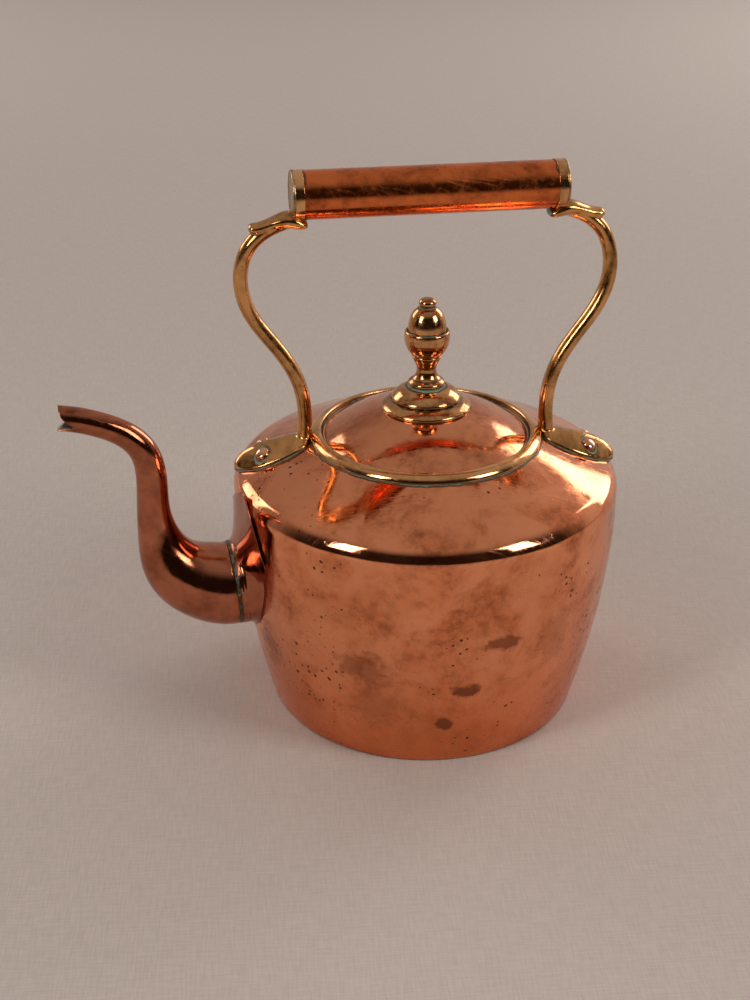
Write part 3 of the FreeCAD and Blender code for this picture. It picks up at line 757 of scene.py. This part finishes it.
def build_sleeve():
    corners = [(SLEEVE_OUTER_R, 147.15), (SLEEVE_OUTER_R, SLEEVE_LOW_Z), (SLEEVE_OUTER_R - 1.0, SLEEVE_LOW_Z),
               (SLEEVE_OUTER_R - 1.0, 147.15)]
    piece = turn("neck_sleeve_tinned", rounded(corners, 0.4), "tin", steps=192)
    return finished(piece, "kettle", "copper", "neck_sleeve")


# ---------------------------------------------------------------- lid and knob

def lid_height(radius, drop=0.0):
    return LID_TOP_Z - drop - (LID_CURVE_R - np.sqrt(LID_CURVE_R ** 2 - radius ** 2))


def build_lid():
    edge_z = lid_height(LID_EDGE_R)
    over_r = np.linspace(0.0, LID_EDGE_R - 0.5, 56)
    over = np.stack([over_r, lid_height(over_r)], 1)
    rim = [(LID_EDGE_R - 0.12, edge_z - 0.05), (LID_EDGE_R, edge_z - 0.45), (LID_EDGE_R, SEAT_Z + 0.5),
           (LID_EDGE_R - 0.4, SEAT_Z), (LID_EDGE_R - 2.3, SEAT_Z), (LID_EDGE_R - 2.5, SEAT_Z + 0.4)]
    under_r = np.linspace(LID_EDGE_R - 2.5, 0.0, 40)
    under = np.stack([under_r, lid_height(under_r, SHEET)], 1)
    piece = turn("lid_shell", joined(over, rim, under), "lid", steps=256, closed=False)
    hand_worked(piece, 0.10, 15.0, 5.0, direction=(0.0, 0.0, 1.0))

    def grime(p):
        edge = near(radius_of(p), LID_EDGE_R, 1.2)
        return edge * 0.8 + near(radius_of(p), 23.0, 1.2) * 0.7

    paint_joint(piece, grime)
    return finished(piece, "lid", "copper", "lid_dome")


def build_bezel():
    top = lid_height(BEZEL_R - SHEET, SHEET)
    corners = [(BEZEL_R, top), (BEZEL_R, BEZEL_LOW_Z), (BEZEL_R - SHEET, BEZEL_LOW_Z), (BEZEL_R - SHEET, top)]
    piece = turn("lid_bezel_band", rounded(corners, 0.4), "tin", steps=192)
    return finished(piece, "lid", "copper", "lid_bezel")


def knob_turning(name, outer, node, finish="knob", grime=None):
    """Solid turned part of the knob: outer points, closed on the axis."""
    outline = joined([(0.0, outer[0][1])], outer, [(0.0, outer[-1][1])])
    piece = turn(name, outline, finish, steps=128, closed=False)
    if grime is not None:
        paint_joint(piece, grime)
    return finished(piece, "lid", "dark_copper", node)


def build_knob():
    disc = joined([(17.0, 169.3)], spline([(17.3, 169.2), (19.6, 168.5), (21.6, 167.4), (22.8, 166.5),
                                           (23.3, 165.6), (23.1, 164.8), (22.6, 164.3)], 22),
                  [(22.4, 163.9)])
    knob_turning("knob_disc", disc, "knob_foot_disc", grime=lambda p: near(radius_of(p), 17.6, 1.2)
                 * (p[:, 2] > 168.6) + near(p[:, 2], 164.2, 1.0) * 0.9)
    dome = joined([(9.2, 176.5)], spline([(9.6, 176.35), (12.4, 175.4), (15.2, 173.7), (17.0, 172.0),
                                          (17.8, 170.9), (17.9, 170.2), (17.3, 169.5)], 24))
    knob_turning("knob_dome", dome, "knob_foot_dome", grime=lambda p: near(p[:, 2], 176.5, 0.9) * 1.1)
    stem = joined([(7.4, 193.2)], spline([(7.6, 193.0), (7.2, 191.4), (5.5, 188.0), (5.1, 184.6),
                                          (6.4, 181.5), (8.2, 179.9), (9.3, 178.9), (9.5, 178.0),
                                          (9.3, 177.2), (8.9, 176.45)], 44))
    knob_turning("knob_neck", stem, "knob_stem", grime=lambda p: near(p[:, 2], 176.7, 1.0) * 1.2
                 + near(p[:, 2], 180.4, 0.8) * 0.7)
    cup = joined(spline([(10.2, 206.0), (10.7, 206.5), (11.2, 206.3), (11.55, 205.3), (11.7, 203.2),
                         (11.2, 199.6), (9.4, 195.6), (6.9, 193.0)], 40))
    knob_turning("knob_cup_turned", joined([(10.0, 204.9)], cup), "knob_cup",
                 grime=lambda p: near(p[:, 2], 193.0, 0.9)
                 + near(radius_of(p), 10.2, 0.9) * (p[:, 2] > 204.5))
    acorn = spline([(4.0, 218.9), (5.2, 218.2), (7.4, 216.0), (9.3, 211.5), (9.8, 207.5), (9.6, 204.8)], 36)
    knob_turning("knob_acorn_turned", acorn, "knob_acorn", grime=lambda p: near(p[:, 2], 218.8, 0.6)
                 + near(p[:, 2], 206.2, 1.0) * 1.1)
    tip = spline([(0.02, 223.6), (1.8, 223.5), (3.2, 222.9), (4.2, 222.0), (4.5, 221.0), (4.3, 219.9),
                  (3.3, 218.9)], 30)
    knob_turning("knob_tip_turned", tip, "knob_tip", grime=lambda p: near(p[:, 2], 218.9, 0.6))


# ---------------------------------------------------------------- handle

def along_handle(piece, side):
    """Lay a turned piece along the handle, its local top at the far end of that side."""
    lay = Matrix.Rotation(math.radians(90.0), 4, "Y")
    lift = Matrix.Translation((0.0, 0.0, TUBE_Z * MM))
    swing = Matrix.Rotation(math.radians(HANDLE_TWIST + (0.0 if side > 0 else 180.0)), 4, "Z")
    piece.data.transform(swing @ lift @ lay)
    piece.data.update()


def build_handle():
    reach = TUBE_HALF
    outer_r = np.linspace(reach - 0.2, -reach + 0.2, 60)
    skin = np.stack([np.full(60, TUBE_R), outer_r], 1)
    bore = np.stack([np.full(30, TUBE_R - TUBE_WALL), np.linspace(-reach + 0.2, reach - 0.2, 30)], 1)
    tube = turn("handle_tube_copper", joined(skin, bore), "tube", steps=128)
    hand_worked(tube, 0.07, 14.0, 11.0, direction=(0.7, 0.7, 0.0))
    along_handle(tube, 1)
    paint_joint(tube, lambda p: near(radius_of(p), TUBE_HALF - FERRULE_LENGTH, 1.1) * 0.8)
    finished(tube, "kettle", "copper", "handle_tube")
    for side, name in ((-1, "left"), (1, "right")):
        low = TUBE_HALF - FERRULE_LENGTH
        corners = [(FERRULE_R, TUBE_HALF), (FERRULE_R, low), (TUBE_R, low), (TUBE_R, TUBE_HALF)]
        band = turn("ferrule_band_" + name, rounded(corners, 0.22), "ring", steps=128)
        along_handle(band, side)
        finished(band, "kettle", "brass", "ferrule_" + name)
        top = TUBE_HALF + CAP_THICK
        face = [(0.0, top - 0.45), (9.6, top - 0.4), (10.7, top - 0.3), (11.2, top), (11.9, top - 0.05),
                (FERRULE_R - 0.05, top - 0.4), (FERRULE_R, TUBE_HALF + 0.1), (FERRULE_R - 0.2, TUBE_HALF),
                (TUBE_R - TUBE_WALL, TUBE_HALF), (TUBE_R - TUBE_WALL, TUBE_HALF - 3.0),
                (0.0, TUBE_HALF - 3.0)]
        cap = turn("cap_disc_" + name, np.array(face), "cap", steps=128, closed=False)
        along_handle(cap, side)
        finished(cap, "kettle", "brass", "end_cap_" + name)


ARM_PATH = [(64.0, 144.0), (63.2, 156.0), (63.4, 168.0), (65.8, 180.0), (70.7, 191.0), (77.9, 202.0),
            (85.4, 212.5), (91.2, 224.0), (93.5, 236.0), (92.0, 247.5), (87.2, 256.4), (79.0, 262.8),
            (70.0, 266.4)]
SPUR = [(60.4, 264.8, 1.6, 5.0), (62.0, 265.0, 2.6, 6.2), (67.0, 266.8, 4.2, 7.0), (73.0, 267.0, 3.6, 6.2),
        (79.5, 265.0, 2.9, 4.9), (84.5, 263.6, 2.8, 4.6), (87.6, 263.6, 2.3, 4.1), (88.9, 263.6, 1.2, 2.4)]
LEAF_EDGE = [(61.2, 0.0), (61.8, 5.5), (63.5, 9.6), (69.0, 12.2), (76.5, 13.6), (84.0, 13.4), (91.0, 11.0),
             (97.0, 6.6), (100.2, 2.6), (100.9, 0.0)]
RIDGE = [(58.0, 152.2), (66.0, 150.6), (72.0, 149.3), (78.0, 148.2), (84.0, 146.9), (90.0, 144.9),
         (95.0, 142.1), (98.5, 138.9), (101.0, 135.3), (104.0, 130.0)]
LEAF_RIM = 1.6
LEAST_HALF_WIDTH = 6.0
CROWN_POWER = 1.8


def along(table, x):
    """Straight-line reading of a table of (x, value) rows."""
    rows = np.array(table)
    return float(np.interp(x, rows[:, 0], rows[:, 1]))


def plate_top(x, y):
    """Height of the foot plate's crown: a ridge falling away to a thin rim on the dome."""
    half = max(along(LEAF_EDGE, x), LEAST_HALF_WIDTH)
    rim = dome_height(math.hypot(x, half)) + LEAF_RIM
    ridge = along(RIDGE, x)
    return ridge - (ridge - rim) * (abs(y) / half) ** CROWN_POWER


def arm_rings():
    """Oval sections along the S-shaped arm, twisting from the foot line to the handle line."""
    route = []
    for x, z in ARM_PATH:
        swing = math.radians(HANDLE_TWIST * min(max((z - 150.0) / 112.0, 0.0), 1.0))
        route.append((x * math.cos(swing), x * math.sin(swing), z))
    route = spline(route, 90)
    heading = np.gradient(route, axis=0)
    heading /= np.linalg.norm(heading, axis=1)[:, None]
    rings = []
    for i, (spot, way) in enumerate(zip(route, heading)):
        share = i / (len(route) - 1)
        thick = 3.7 + 0.5 * max(0.0, 1.0 - share * 8)
        wide = np.array([0.0, 1.0, 0.0]) - way * way[1]
        wide /= np.linalg.norm(wide)
        deep = np.cross(way, wide)
        ring = [spot + wide * thick * 1.22 * math.cos(a) + deep * thick * math.sin(a)
                for a in np.linspace(0.0, 2 * math.pi, 40, endpoint=False)]
        rings.append(ring)
    return rings


def spur_rings():
    """Thumb scroll over the arm, running back as a tongue under the tube end."""
    swing = math.radians(HANDLE_TWIST)
    line = spline(SPUR, 46)
    rings = []
    for x, z, tall, wide in line:
        ring = []
        for angle in np.linspace(0.0, 2 * math.pi, 40, endpoint=False):
            y = wide * math.cos(angle)
            ring.append((x * math.cos(swing) - y * math.sin(swing), x * math.sin(swing) + y * math.cos(swing),
                         z + tall * math.sin(angle)))
        rings.append(ring)
    return rings


def foot_rings():
    """Leaf-shaped foot plate as rings of a dome: from the rim on the body up to the ridge."""
    half = spline(LEAF_EDGE, 50)
    edge = np.concatenate([half, (half * np.array([1.0, -1.0]))[::-1][1:-1]])
    middle = np.array([81.0, 0.0])
    rings = []

    def ring(share, height):
        spots = middle + (edge - middle) * share
        return [(x, y, height(x, y)) for x, y in spots]

    def seat(x, y):
        return dome_height(math.hypot(x, y)) - 1.0

    rings.append(ring(0.02, seat))
    for share in (0.3, 0.6, 0.85, 0.97):
        rings.append(ring(share, seat))
    rings.append(ring(1.0, lambda x, y: min(seat(x, y) + 1.3, plate_top(x, y))))
    for share in (0.995, 0.98, 0.94, 0.85, 0.7, 0.5, 0.3, 0.15, 0.02):
        rings.append(ring(share, plate_top))
    return rings


def blended(piece, voxel, rounds):
    """Melt overlapping forms into one casting with soft inner corners."""
    melt = piece.modifiers.new("melt", "REMESH")
    melt.mode = "VOXEL"
    melt.voxel_size = voxel * MM
    melt.use_smooth_shade = True
    soften = piece.modifiers.new("soften", "SMOOTH")
    soften.factor = 0.5
    soften.iterations = rounds
    bpy.context.view_layer.update()
    graph = bpy.context.evaluated_depsgraph_get()
    mesh = bpy.data.meshes.new_from_object(piece.evaluated_get(graph), depsgraph=graph)
    piece.modifiers.clear()
    piece.data = mesh
    piece.data.materials.clear()


def build_brackets():
    for side, name in ((-1, "left"), (1, "right")):
        work = bmesh.new()
        for rings in (arm_rings(), spur_rings(), foot_rings()):
            part = loft("part", rings, "brass")
            work.from_mesh(part.data)
            bpy.data.objects.remove(part)
        mesh = bpy.data.meshes.new("bracket_casting_" + name)
        work.to_mesh(mesh)
        work.free()
        piece = link("bracket_casting_" + name, mesh)
        blended(piece, 0.55, 4)
        if side < 0:
            piece.data.transform(Matrix.Rotation(math.pi, 4, "Z"))
        piece.data.materials.append(FINISHES["brass"])
        outward(piece)

        def grime(p):
            radius = radius_of(p)
            over = p[:, 2] - dome_height(np.maximum(radius, 56.0))
            at_dome = np.clip(1.2 - over / 1.5, 0.0, 1.0) * (p[:, 2] < 156.0)
            heads = np.zeros(len(p))
            for spot in RIVET_SPOTS.values():
                away = np.hypot(p[:, 0] - spot[0] * side, p[:, 1] - spot[1])
                heads = np.maximum(heads, near(away, 3.9, 1.0) * (p[:, 2] < 160.0))
            under_tube = near(radius, 60.5, 1.6) * (p[:, 2] > 250.0)
            return at_dome + heads + under_tube

        paint_joint(piece, grime)
        finished(piece, "kettle", "brass", "bracket_" + name)


RIVET_SPOTS = {"front": (85.7, -7.5), "back": (85.7, 7.5)}
RIVET_LEAN = (0.40, 0.45)


def build_rivets():
    places = []
    axes = []
    for side in (-1, 1):
        for x, y in RIVET_SPOTS.values():
            axis = Vector((RIVET_LEAN[0] * side, math.copysign(RIVET_LEAN[1], y), 1.0)).normalized()
            places.append((Vector((x * side, y, plate_top(x, y))) + axis * 0.1) * MM)
            axes.append(axis)
    mesh = bpy.data.meshes.new("rivet_places")
    mesh.from_pydata(places, [], [])
    layer = mesh.attributes.new("axis", "FLOAT_VECTOR", "POINT")
    layer.data.foreach_set("vector", np.array(axes, np.float32).ravel())
    source = link("rivet_places", mesh)
    grown_mesh = grown(source, TREES["riveting"], {"Finish": FINISHES["rivet"], "Grip": 0.0082, "Seed": 7})
    bpy.data.objects.remove(source)
    piece = link("bracket_rivets", grown_mesh)
    outward(piece)
    nodes = ["rivet_" + side + "_" + spot for side in ("left", "right") for spot in RIVET_SPOTS]
    finished(piece, "kettle", "rivet_copper", *nodes)


# ---------------------------------------------------------------- spout

def spout_point(s, y, z):
    """Point at distance s along the spout's own plane, y to its side."""
    side = y + SPOUT_OFFSET
    return np.array([-s * math.cos(SPOUT_TURN) + side * math.sin(SPOUT_TURN),
                     -s * math.sin(SPOUT_TURN) - side * math.cos(SPOUT_TURN), z])


def seam_spot(y, rise, shift):
    """Point in the leaning seam plane, y across and rise up from its centre."""
    s = SEAM_S + rise * math.sin(SEAM_LEAN) + shift * math.cos(SEAM_LEAN)
    return spout_point(s, y, SEAM_Z + rise * math.cos(SEAM_LEAN) - shift * math.sin(SEAM_LEAN))


SPOUT_LINE = [(109.2, 77.4, 21.95), (117.0, 79.0, 21.3), (127.6, 84.0, 19.5), (136.2, 92.4, 16.6),
              (141.6, 104.6, 12.4), (144.2, 119.0, 9.2), (144.6, 131.0, 8.15), (144.5, 144.0, 7.75),
              (147.0, 157.0, 7.3), (154.4, 166.7, 6.7), (166.0, 173.6, 6.4), (180.0, 178.5, 6.35),
              (193.0, 180.6, 6.35)]
UPPER_LIP = [(179.3, 176.3), (184.7, 180.6), (186.7, 185.6)]
LOWER_LIP = [(190.6, 171.8), (185.4, 175.0), (179.3, 176.3)]


def lip_reach(z):
    """How far along the plane the beak runs at height z."""
    low = spline(LOWER_LIP, 30)
    high = spline(UPPER_LIP, 30)
    line = np.concatenate([low, high[1:]])
    return float(np.interp(z, line[:, 1], line[:, 0]))


def spout_path(count):
    """Centre line with radius, as rows of (s, z, radius), and its unit heading in the plane."""
    start = (SEAM_S + SEAM_GAP * math.cos(SEAM_LEAN), SEAM_Z - SEAM_GAP * math.sin(SEAM_LEAN), ROOT_R)
    path = spline([start] + SPOUT_LINE, count)
    heading = np.gradient(path[:, :2], axis=0)
    heading /= np.linalg.norm(heading, axis=1)[:, None]
    heading[0] = (math.cos(SEAM_LEAN), -math.sin(SEAM_LEAN))
    return path, heading


def skin_point(path, heading, at, angle, inset):
    """Point on the pipe skin at a fractional place along the path."""
    index = min(int(at), len(path) - 2)
    share = at - index
    s, z, radius = path[index] * (1 - share) + path[index + 1] * share
    way = heading[index] * (1 - share) + heading[index + 1] * share
    up = (radius - inset) * math.sin(angle)
    return s - way[1] * up, z + way[0] * up, (radius - inset) * math.cos(angle)


def spout_skin(inset, rows, columns):
    """Rings of one skin, with each line of points ending on the beak's edge."""
    path, heading = spout_path(rows)
    bend_row = int(rows * 0.82)
    stops = []
    for angle in np.linspace(0.0, 2 * math.pi, columns, endpoint=False):
        low, high = float(bend_row), float(rows - 1)
        for _ in range(26):
            middle = (low + high) / 2
            s, z, y = skin_point(path, heading, middle, angle, inset)
            if s < lip_reach(z):
                low = middle
            else:
                high = middle
        stops.append(low)
    rings = []
    for row in range(rows):
        ring = []
        for column, angle in enumerate(np.linspace(0.0, 2 * math.pi, columns, endpoint=False)):
            at = float(row)
            if row > bend_row:
                at = bend_row + (row - bend_row) / (rows - 1 - bend_row) * (stops[column] - bend_row)
            s, z, y = skin_point(path, heading, at, angle, inset)
            ring.append(spout_point(s, y, z))
        rings.append(np.array(ring))
    return rings


def build_spout():
    outer = spout_skin(0.0, 150, 96)
    inner = spout_skin(SPOUT_SHEET, 150, 96)
    run = outer[-1] - outer[-2]
    run /= np.linalg.norm(run, axis=1)[:, None]
    lip = (outer[-1] + inner[-1]) / 2 + run * 0.32
    rings = outer + [outer[-1] * 0.6 + lip * 0.4 + run * 0.12, lip, inner[-1] * 0.6 + lip * 0.4 + run * 0.12]
    rings += inner[::-1]
    piece = loft("spout_pipe_copper", rings, "spout", around=True)
    piece.data.materials.append(FINISHES["tin"])
    spots = points_of(piece)
    path = spout_path(150)[0]
    centre = np.array([spout_point(row[0], 0.0, row[1]) for row in path])
    for face in piece.data.polygons:
        middle = np.mean(spots[list(face.vertices)], axis=0)
        away = np.linalg.norm(centre - middle, axis=1)
        nearest = int(np.argmin(away))
        if away[nearest] < path[nearest][2] - 0.62:
            face.material_index = 1
    hand_worked(piece, 0.10, 12.0, 21.0, direction=(0.3, -0.9, 0.1))
    root = seam_spot(0.0, 0.0, SEAM_GAP)
    normal = seam_spot(0.0, 0.0, 1.0) - seam_spot(0.0, 0.0, 0.0)
    paint_joint(piece, lambda p: near((p - root) @ normal, 0.0, 1.5) * 0.9
                + (p[:, 2] > 170.0) * (-p[:, 0] > 172.0) * 0.35)
    return finished(piece, "kettle", "copper", "spout_pipe")


def on_wall(y, z, lift):
    """Point on the body side at spout offset y and height z, lifted off the surface."""
    skin = wall_radius(z) - 0.012 * max(z - SHOULDER_Z, 0.0) ** 2 + lift
    return spout_point(math.sqrt(skin ** 2 - (y + SPOUT_OFFSET) ** 2), y, z)


def horn_ring(share, inset, columns=120):
    """One closed section of the flared collar: 0 at the seam, 1 where it meets the wall."""
    ring = []
    for angle in np.linspace(0.0, 2 * math.pi, columns, endpoint=False):
        across, rise = math.cos(angle), math.sin(angle)
        root = seam_spot((ROOT_R - inset) * across, (ROOT_R - inset) * rise, -SEAM_GAP)
        power = 1.3 if rise > 0 else 1.6
        tall = 31.5 if rise > 0 else 51.0
        reach = (abs(across) ** power + abs(rise) ** power) ** (-1.0 / power)
        foot_y = (33.0 - inset * 2) * reach * across + COLLAR_SKEW * max(rise, 0.0) ** 2
        foot_z = 102.0 + (tall - inset * 2) * reach * rise
        foot = on_wall(foot_y, foot_z, 0.9 - inset)
        knee = on_wall((ROOT_R - inset) * across * 1.03, root[2], 1.7 - inset)
        spot = root * (1 - share) ** 2 + knee * 2 * share * (1 - share) + foot * share ** 2
        outer = spot - seam_spot(0.0, 0.0, 0.0)
        reed = 0.35 * math.exp(-((share - 0.10) / 0.035) ** 2) + 0.3 * math.exp(-((share - 0.2) / 0.04) ** 2)
        ring.append(spot + outer / np.linalg.norm(outer) * reed)
    return np.array(ring)


def build_collar():
    shares = np.linspace(0.0, 1.0, 46)
    outer = [horn_ring(share, 0.0) for share in shares]
    sunk = horn_ring(1.0, 1.6)
    inner = [horn_ring(share, 1.0) for share in shares[::-1]]
    piece = loft("spout_collar_copper", outer + [sunk] + inner[1:], "spout", around=True)
    normal = seam_spot(0.0, 0.0, 1.0) - seam_spot(0.0, 0.0, 0.0)
    root = seam_spot(0.0, 0.0, -SEAM_GAP)
    paint_joint(piece, lambda p: near((p - root) @ normal, 0.0, 1.4) * 0.9)
    return finished(piece, "kettle", "copper", "spout_collar")


def build_bead():
    """Rounded brazing ring round the spout seam."""
    rings = []
    middle = seam_spot(0.0, 0.0, 0.0)
    normal = seam_spot(0.0, 0.0, 1.0) - middle
    for angle in np.linspace(0.0, 2 * math.pi, 128, endpoint=False):
        out = ring_step(angle, 1.0)
        ring = [middle + out * (ROOT_R - 0.35 + 0.62 * math.cos(a)) + normal * 0.5 * math.sin(a)
                for a in np.linspace(0.0, 2 * math.pi, 14, endpoint=False)]
        rings.append(ring)
    piece = loft("seam_ring", rings, "brass", around=True)
    paint_joint(piece, lambda p: np.full(len(p), 0.72))
    return finished(piece, "kettle", "brass", "spout_seam_bead")


# ---------------------------------------------------------------- the hidden fastening

def dress_fastening():
    """The stud, washer and nut under the knob keep their own shape."""
    for node in ("knob_stud", "knob_washer", "knob_nut"):
        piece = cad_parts[node]
        piece.data.materials.clear()
        piece.data.materials.append(FINISHES["brass"])


# ---------------------------------------------------------------- stage, light and camera

def build_floor():
    mesh = bpy.data.meshes.new("linen_floor")
    reach = 4.0
    mesh.from_pydata([(-reach, -reach, 0), (reach, -reach, 0), (reach, reach, 0), (-reach, reach, 0)], [],
                     [(0, 1, 2, 3)])
    material = bpy.data.materials.new("greige_linen")
    material.use_nodes = True
    tree = material.node_tree
    shader = tree.nodes["Principled BSDF"]
    where = put(tree, "ShaderNodeTexCoord").outputs["Object"]
    weave = use(tree, "linen", ("Position", where), ("Threads", 2600.0))
    shade = ramp(tree, weave["Shade"], 0.3, 0.7)
    feed(tree, shader, "Base Color", mix_colour(tree, shade, (0.50, 0.44, 0.40, 1), (0.60, 0.525, 0.48, 1)))
    shader.inputs["Roughness"].default_value = 0.9
    shader.inputs["Specular IOR Level"].default_value = 0.2
    bump = put(tree, "ShaderNodeBump", ("Height", weave["Height"]), ("Distance", 0.0002), ("Strength", 0.35))
    feed(tree, shader, "Normal", bump.outputs[0])
    mesh.materials.append(material)
    floor = link("linen_floor", mesh)


def add_light(name, place, aim, size, power, colour):
    """Rectangular soft light at place, turned towards aim, in metres."""
    lamp = bpy.data.lights.new(name, "AREA")
    lamp.shape = "RECTANGLE"
    lamp.size, lamp.size_y = size
    lamp.energy = power
    lamp.color = colour
    holder = bpy.data.objects.new(name, lamp)
    holder.location = place
    holder.rotation_euler = (Vector(aim) - Vector(place)).to_track_quat("-Z", "Y").to_euler()
    bpy.context.scene.collection.objects.link(holder)


def build_lights():
    aim = (0.0, 0.0, 0.12)
    add_light("key_left", (-1.0, -0.75, 0.95), aim, (0.35, 0.7), 7.0, (1.0, 0.97, 0.94))
    add_light("fill_right", (1.15, -0.75, 1.0), aim, (0.55, 0.7), 9.0, (1.0, 0.96, 0.92))
    add_light("back_wash_right", (2.0, 1.8, 1.1), (0.5, 2.0, 0.0), (1.6, 1.4), 27.0, (1.0, 0.97, 0.95))
    add_light("back_wash_left", (-2.0, 2.0, 1.2), (-0.4, 2.2, 0.0), (1.6, 1.4), 20.0, (1.0, 0.97, 0.95))
    world = bpy.data.worlds.new("studio")
    bpy.context.scene.world = world
    world.use_nodes = True
    tree = world.node_tree
    way = put(tree, "ShaderNodeTexCoord").outputs["Generated"]
    parts = put(tree, "ShaderNodeSeparateXYZ", ("Vector", way)).outputs
    ceiling = ramp(tree, parts["Z"], 0.55, 0.95)
    behind = ramp(tree, parts["Y"], -0.25, 0.35)
    side = ramp(tree, parts["X"], -0.6, 0.8)
    backdrop = mix_colour(tree, side, (0.30, 0.255, 0.23, 1), (0.54, 0.465, 0.43, 1))
    room = mix_colour(tree, behind, (0.022, 0.015, 0.012, 1), backdrop)
    colour = mix_colour(tree, ceiling, room, (0.39, 0.345, 0.315, 1))
    background = tree.nodes["Background"]
    feed(tree, background, "Color", colour)
    background.inputs["Strength"].default_value = 1.0


def build_camera():
    """Camera 855 mm from the base centre, looking down 26.9 degrees, a little round to the left."""
    turn_angle = math.radians(-4.0)
    tilt = math.radians(26.89)
    right = Vector((math.cos(turn_angle), math.sin(turn_angle), 0.0))
    level = math.cos(tilt)
    back = Vector((math.sin(turn_angle) * level, -math.cos(turn_angle) * level, math.sin(tilt)))
    up = back.cross(right)
    lens = bpy.data.cameras.new("camera")
    lens.lens = 54.0
    lens.sensor_width = 36.0
    camera = bpy.data.objects.new("camera", lens)
    camera.matrix_world = Matrix((right, up, back)).transposed().to_4x4()
    camera.location = back * 0.8547 - right * 0.0265 + up * 0.09778
    bpy.context.scene.collection.objects.link(camera)
    bpy.context.scene.camera = camera
    bpy.context.scene.view_settings.view_transform = "Standard"


build_body()
build_base()
build_ring()
build_sleeve()
build_lid()
build_bezel()
build_knob()
build_handle()
build_brackets()
build_rivets()
build_spout()
build_collar()
build_bead()
dress_fastening()
build_floor()
build_lights()
build_camera()
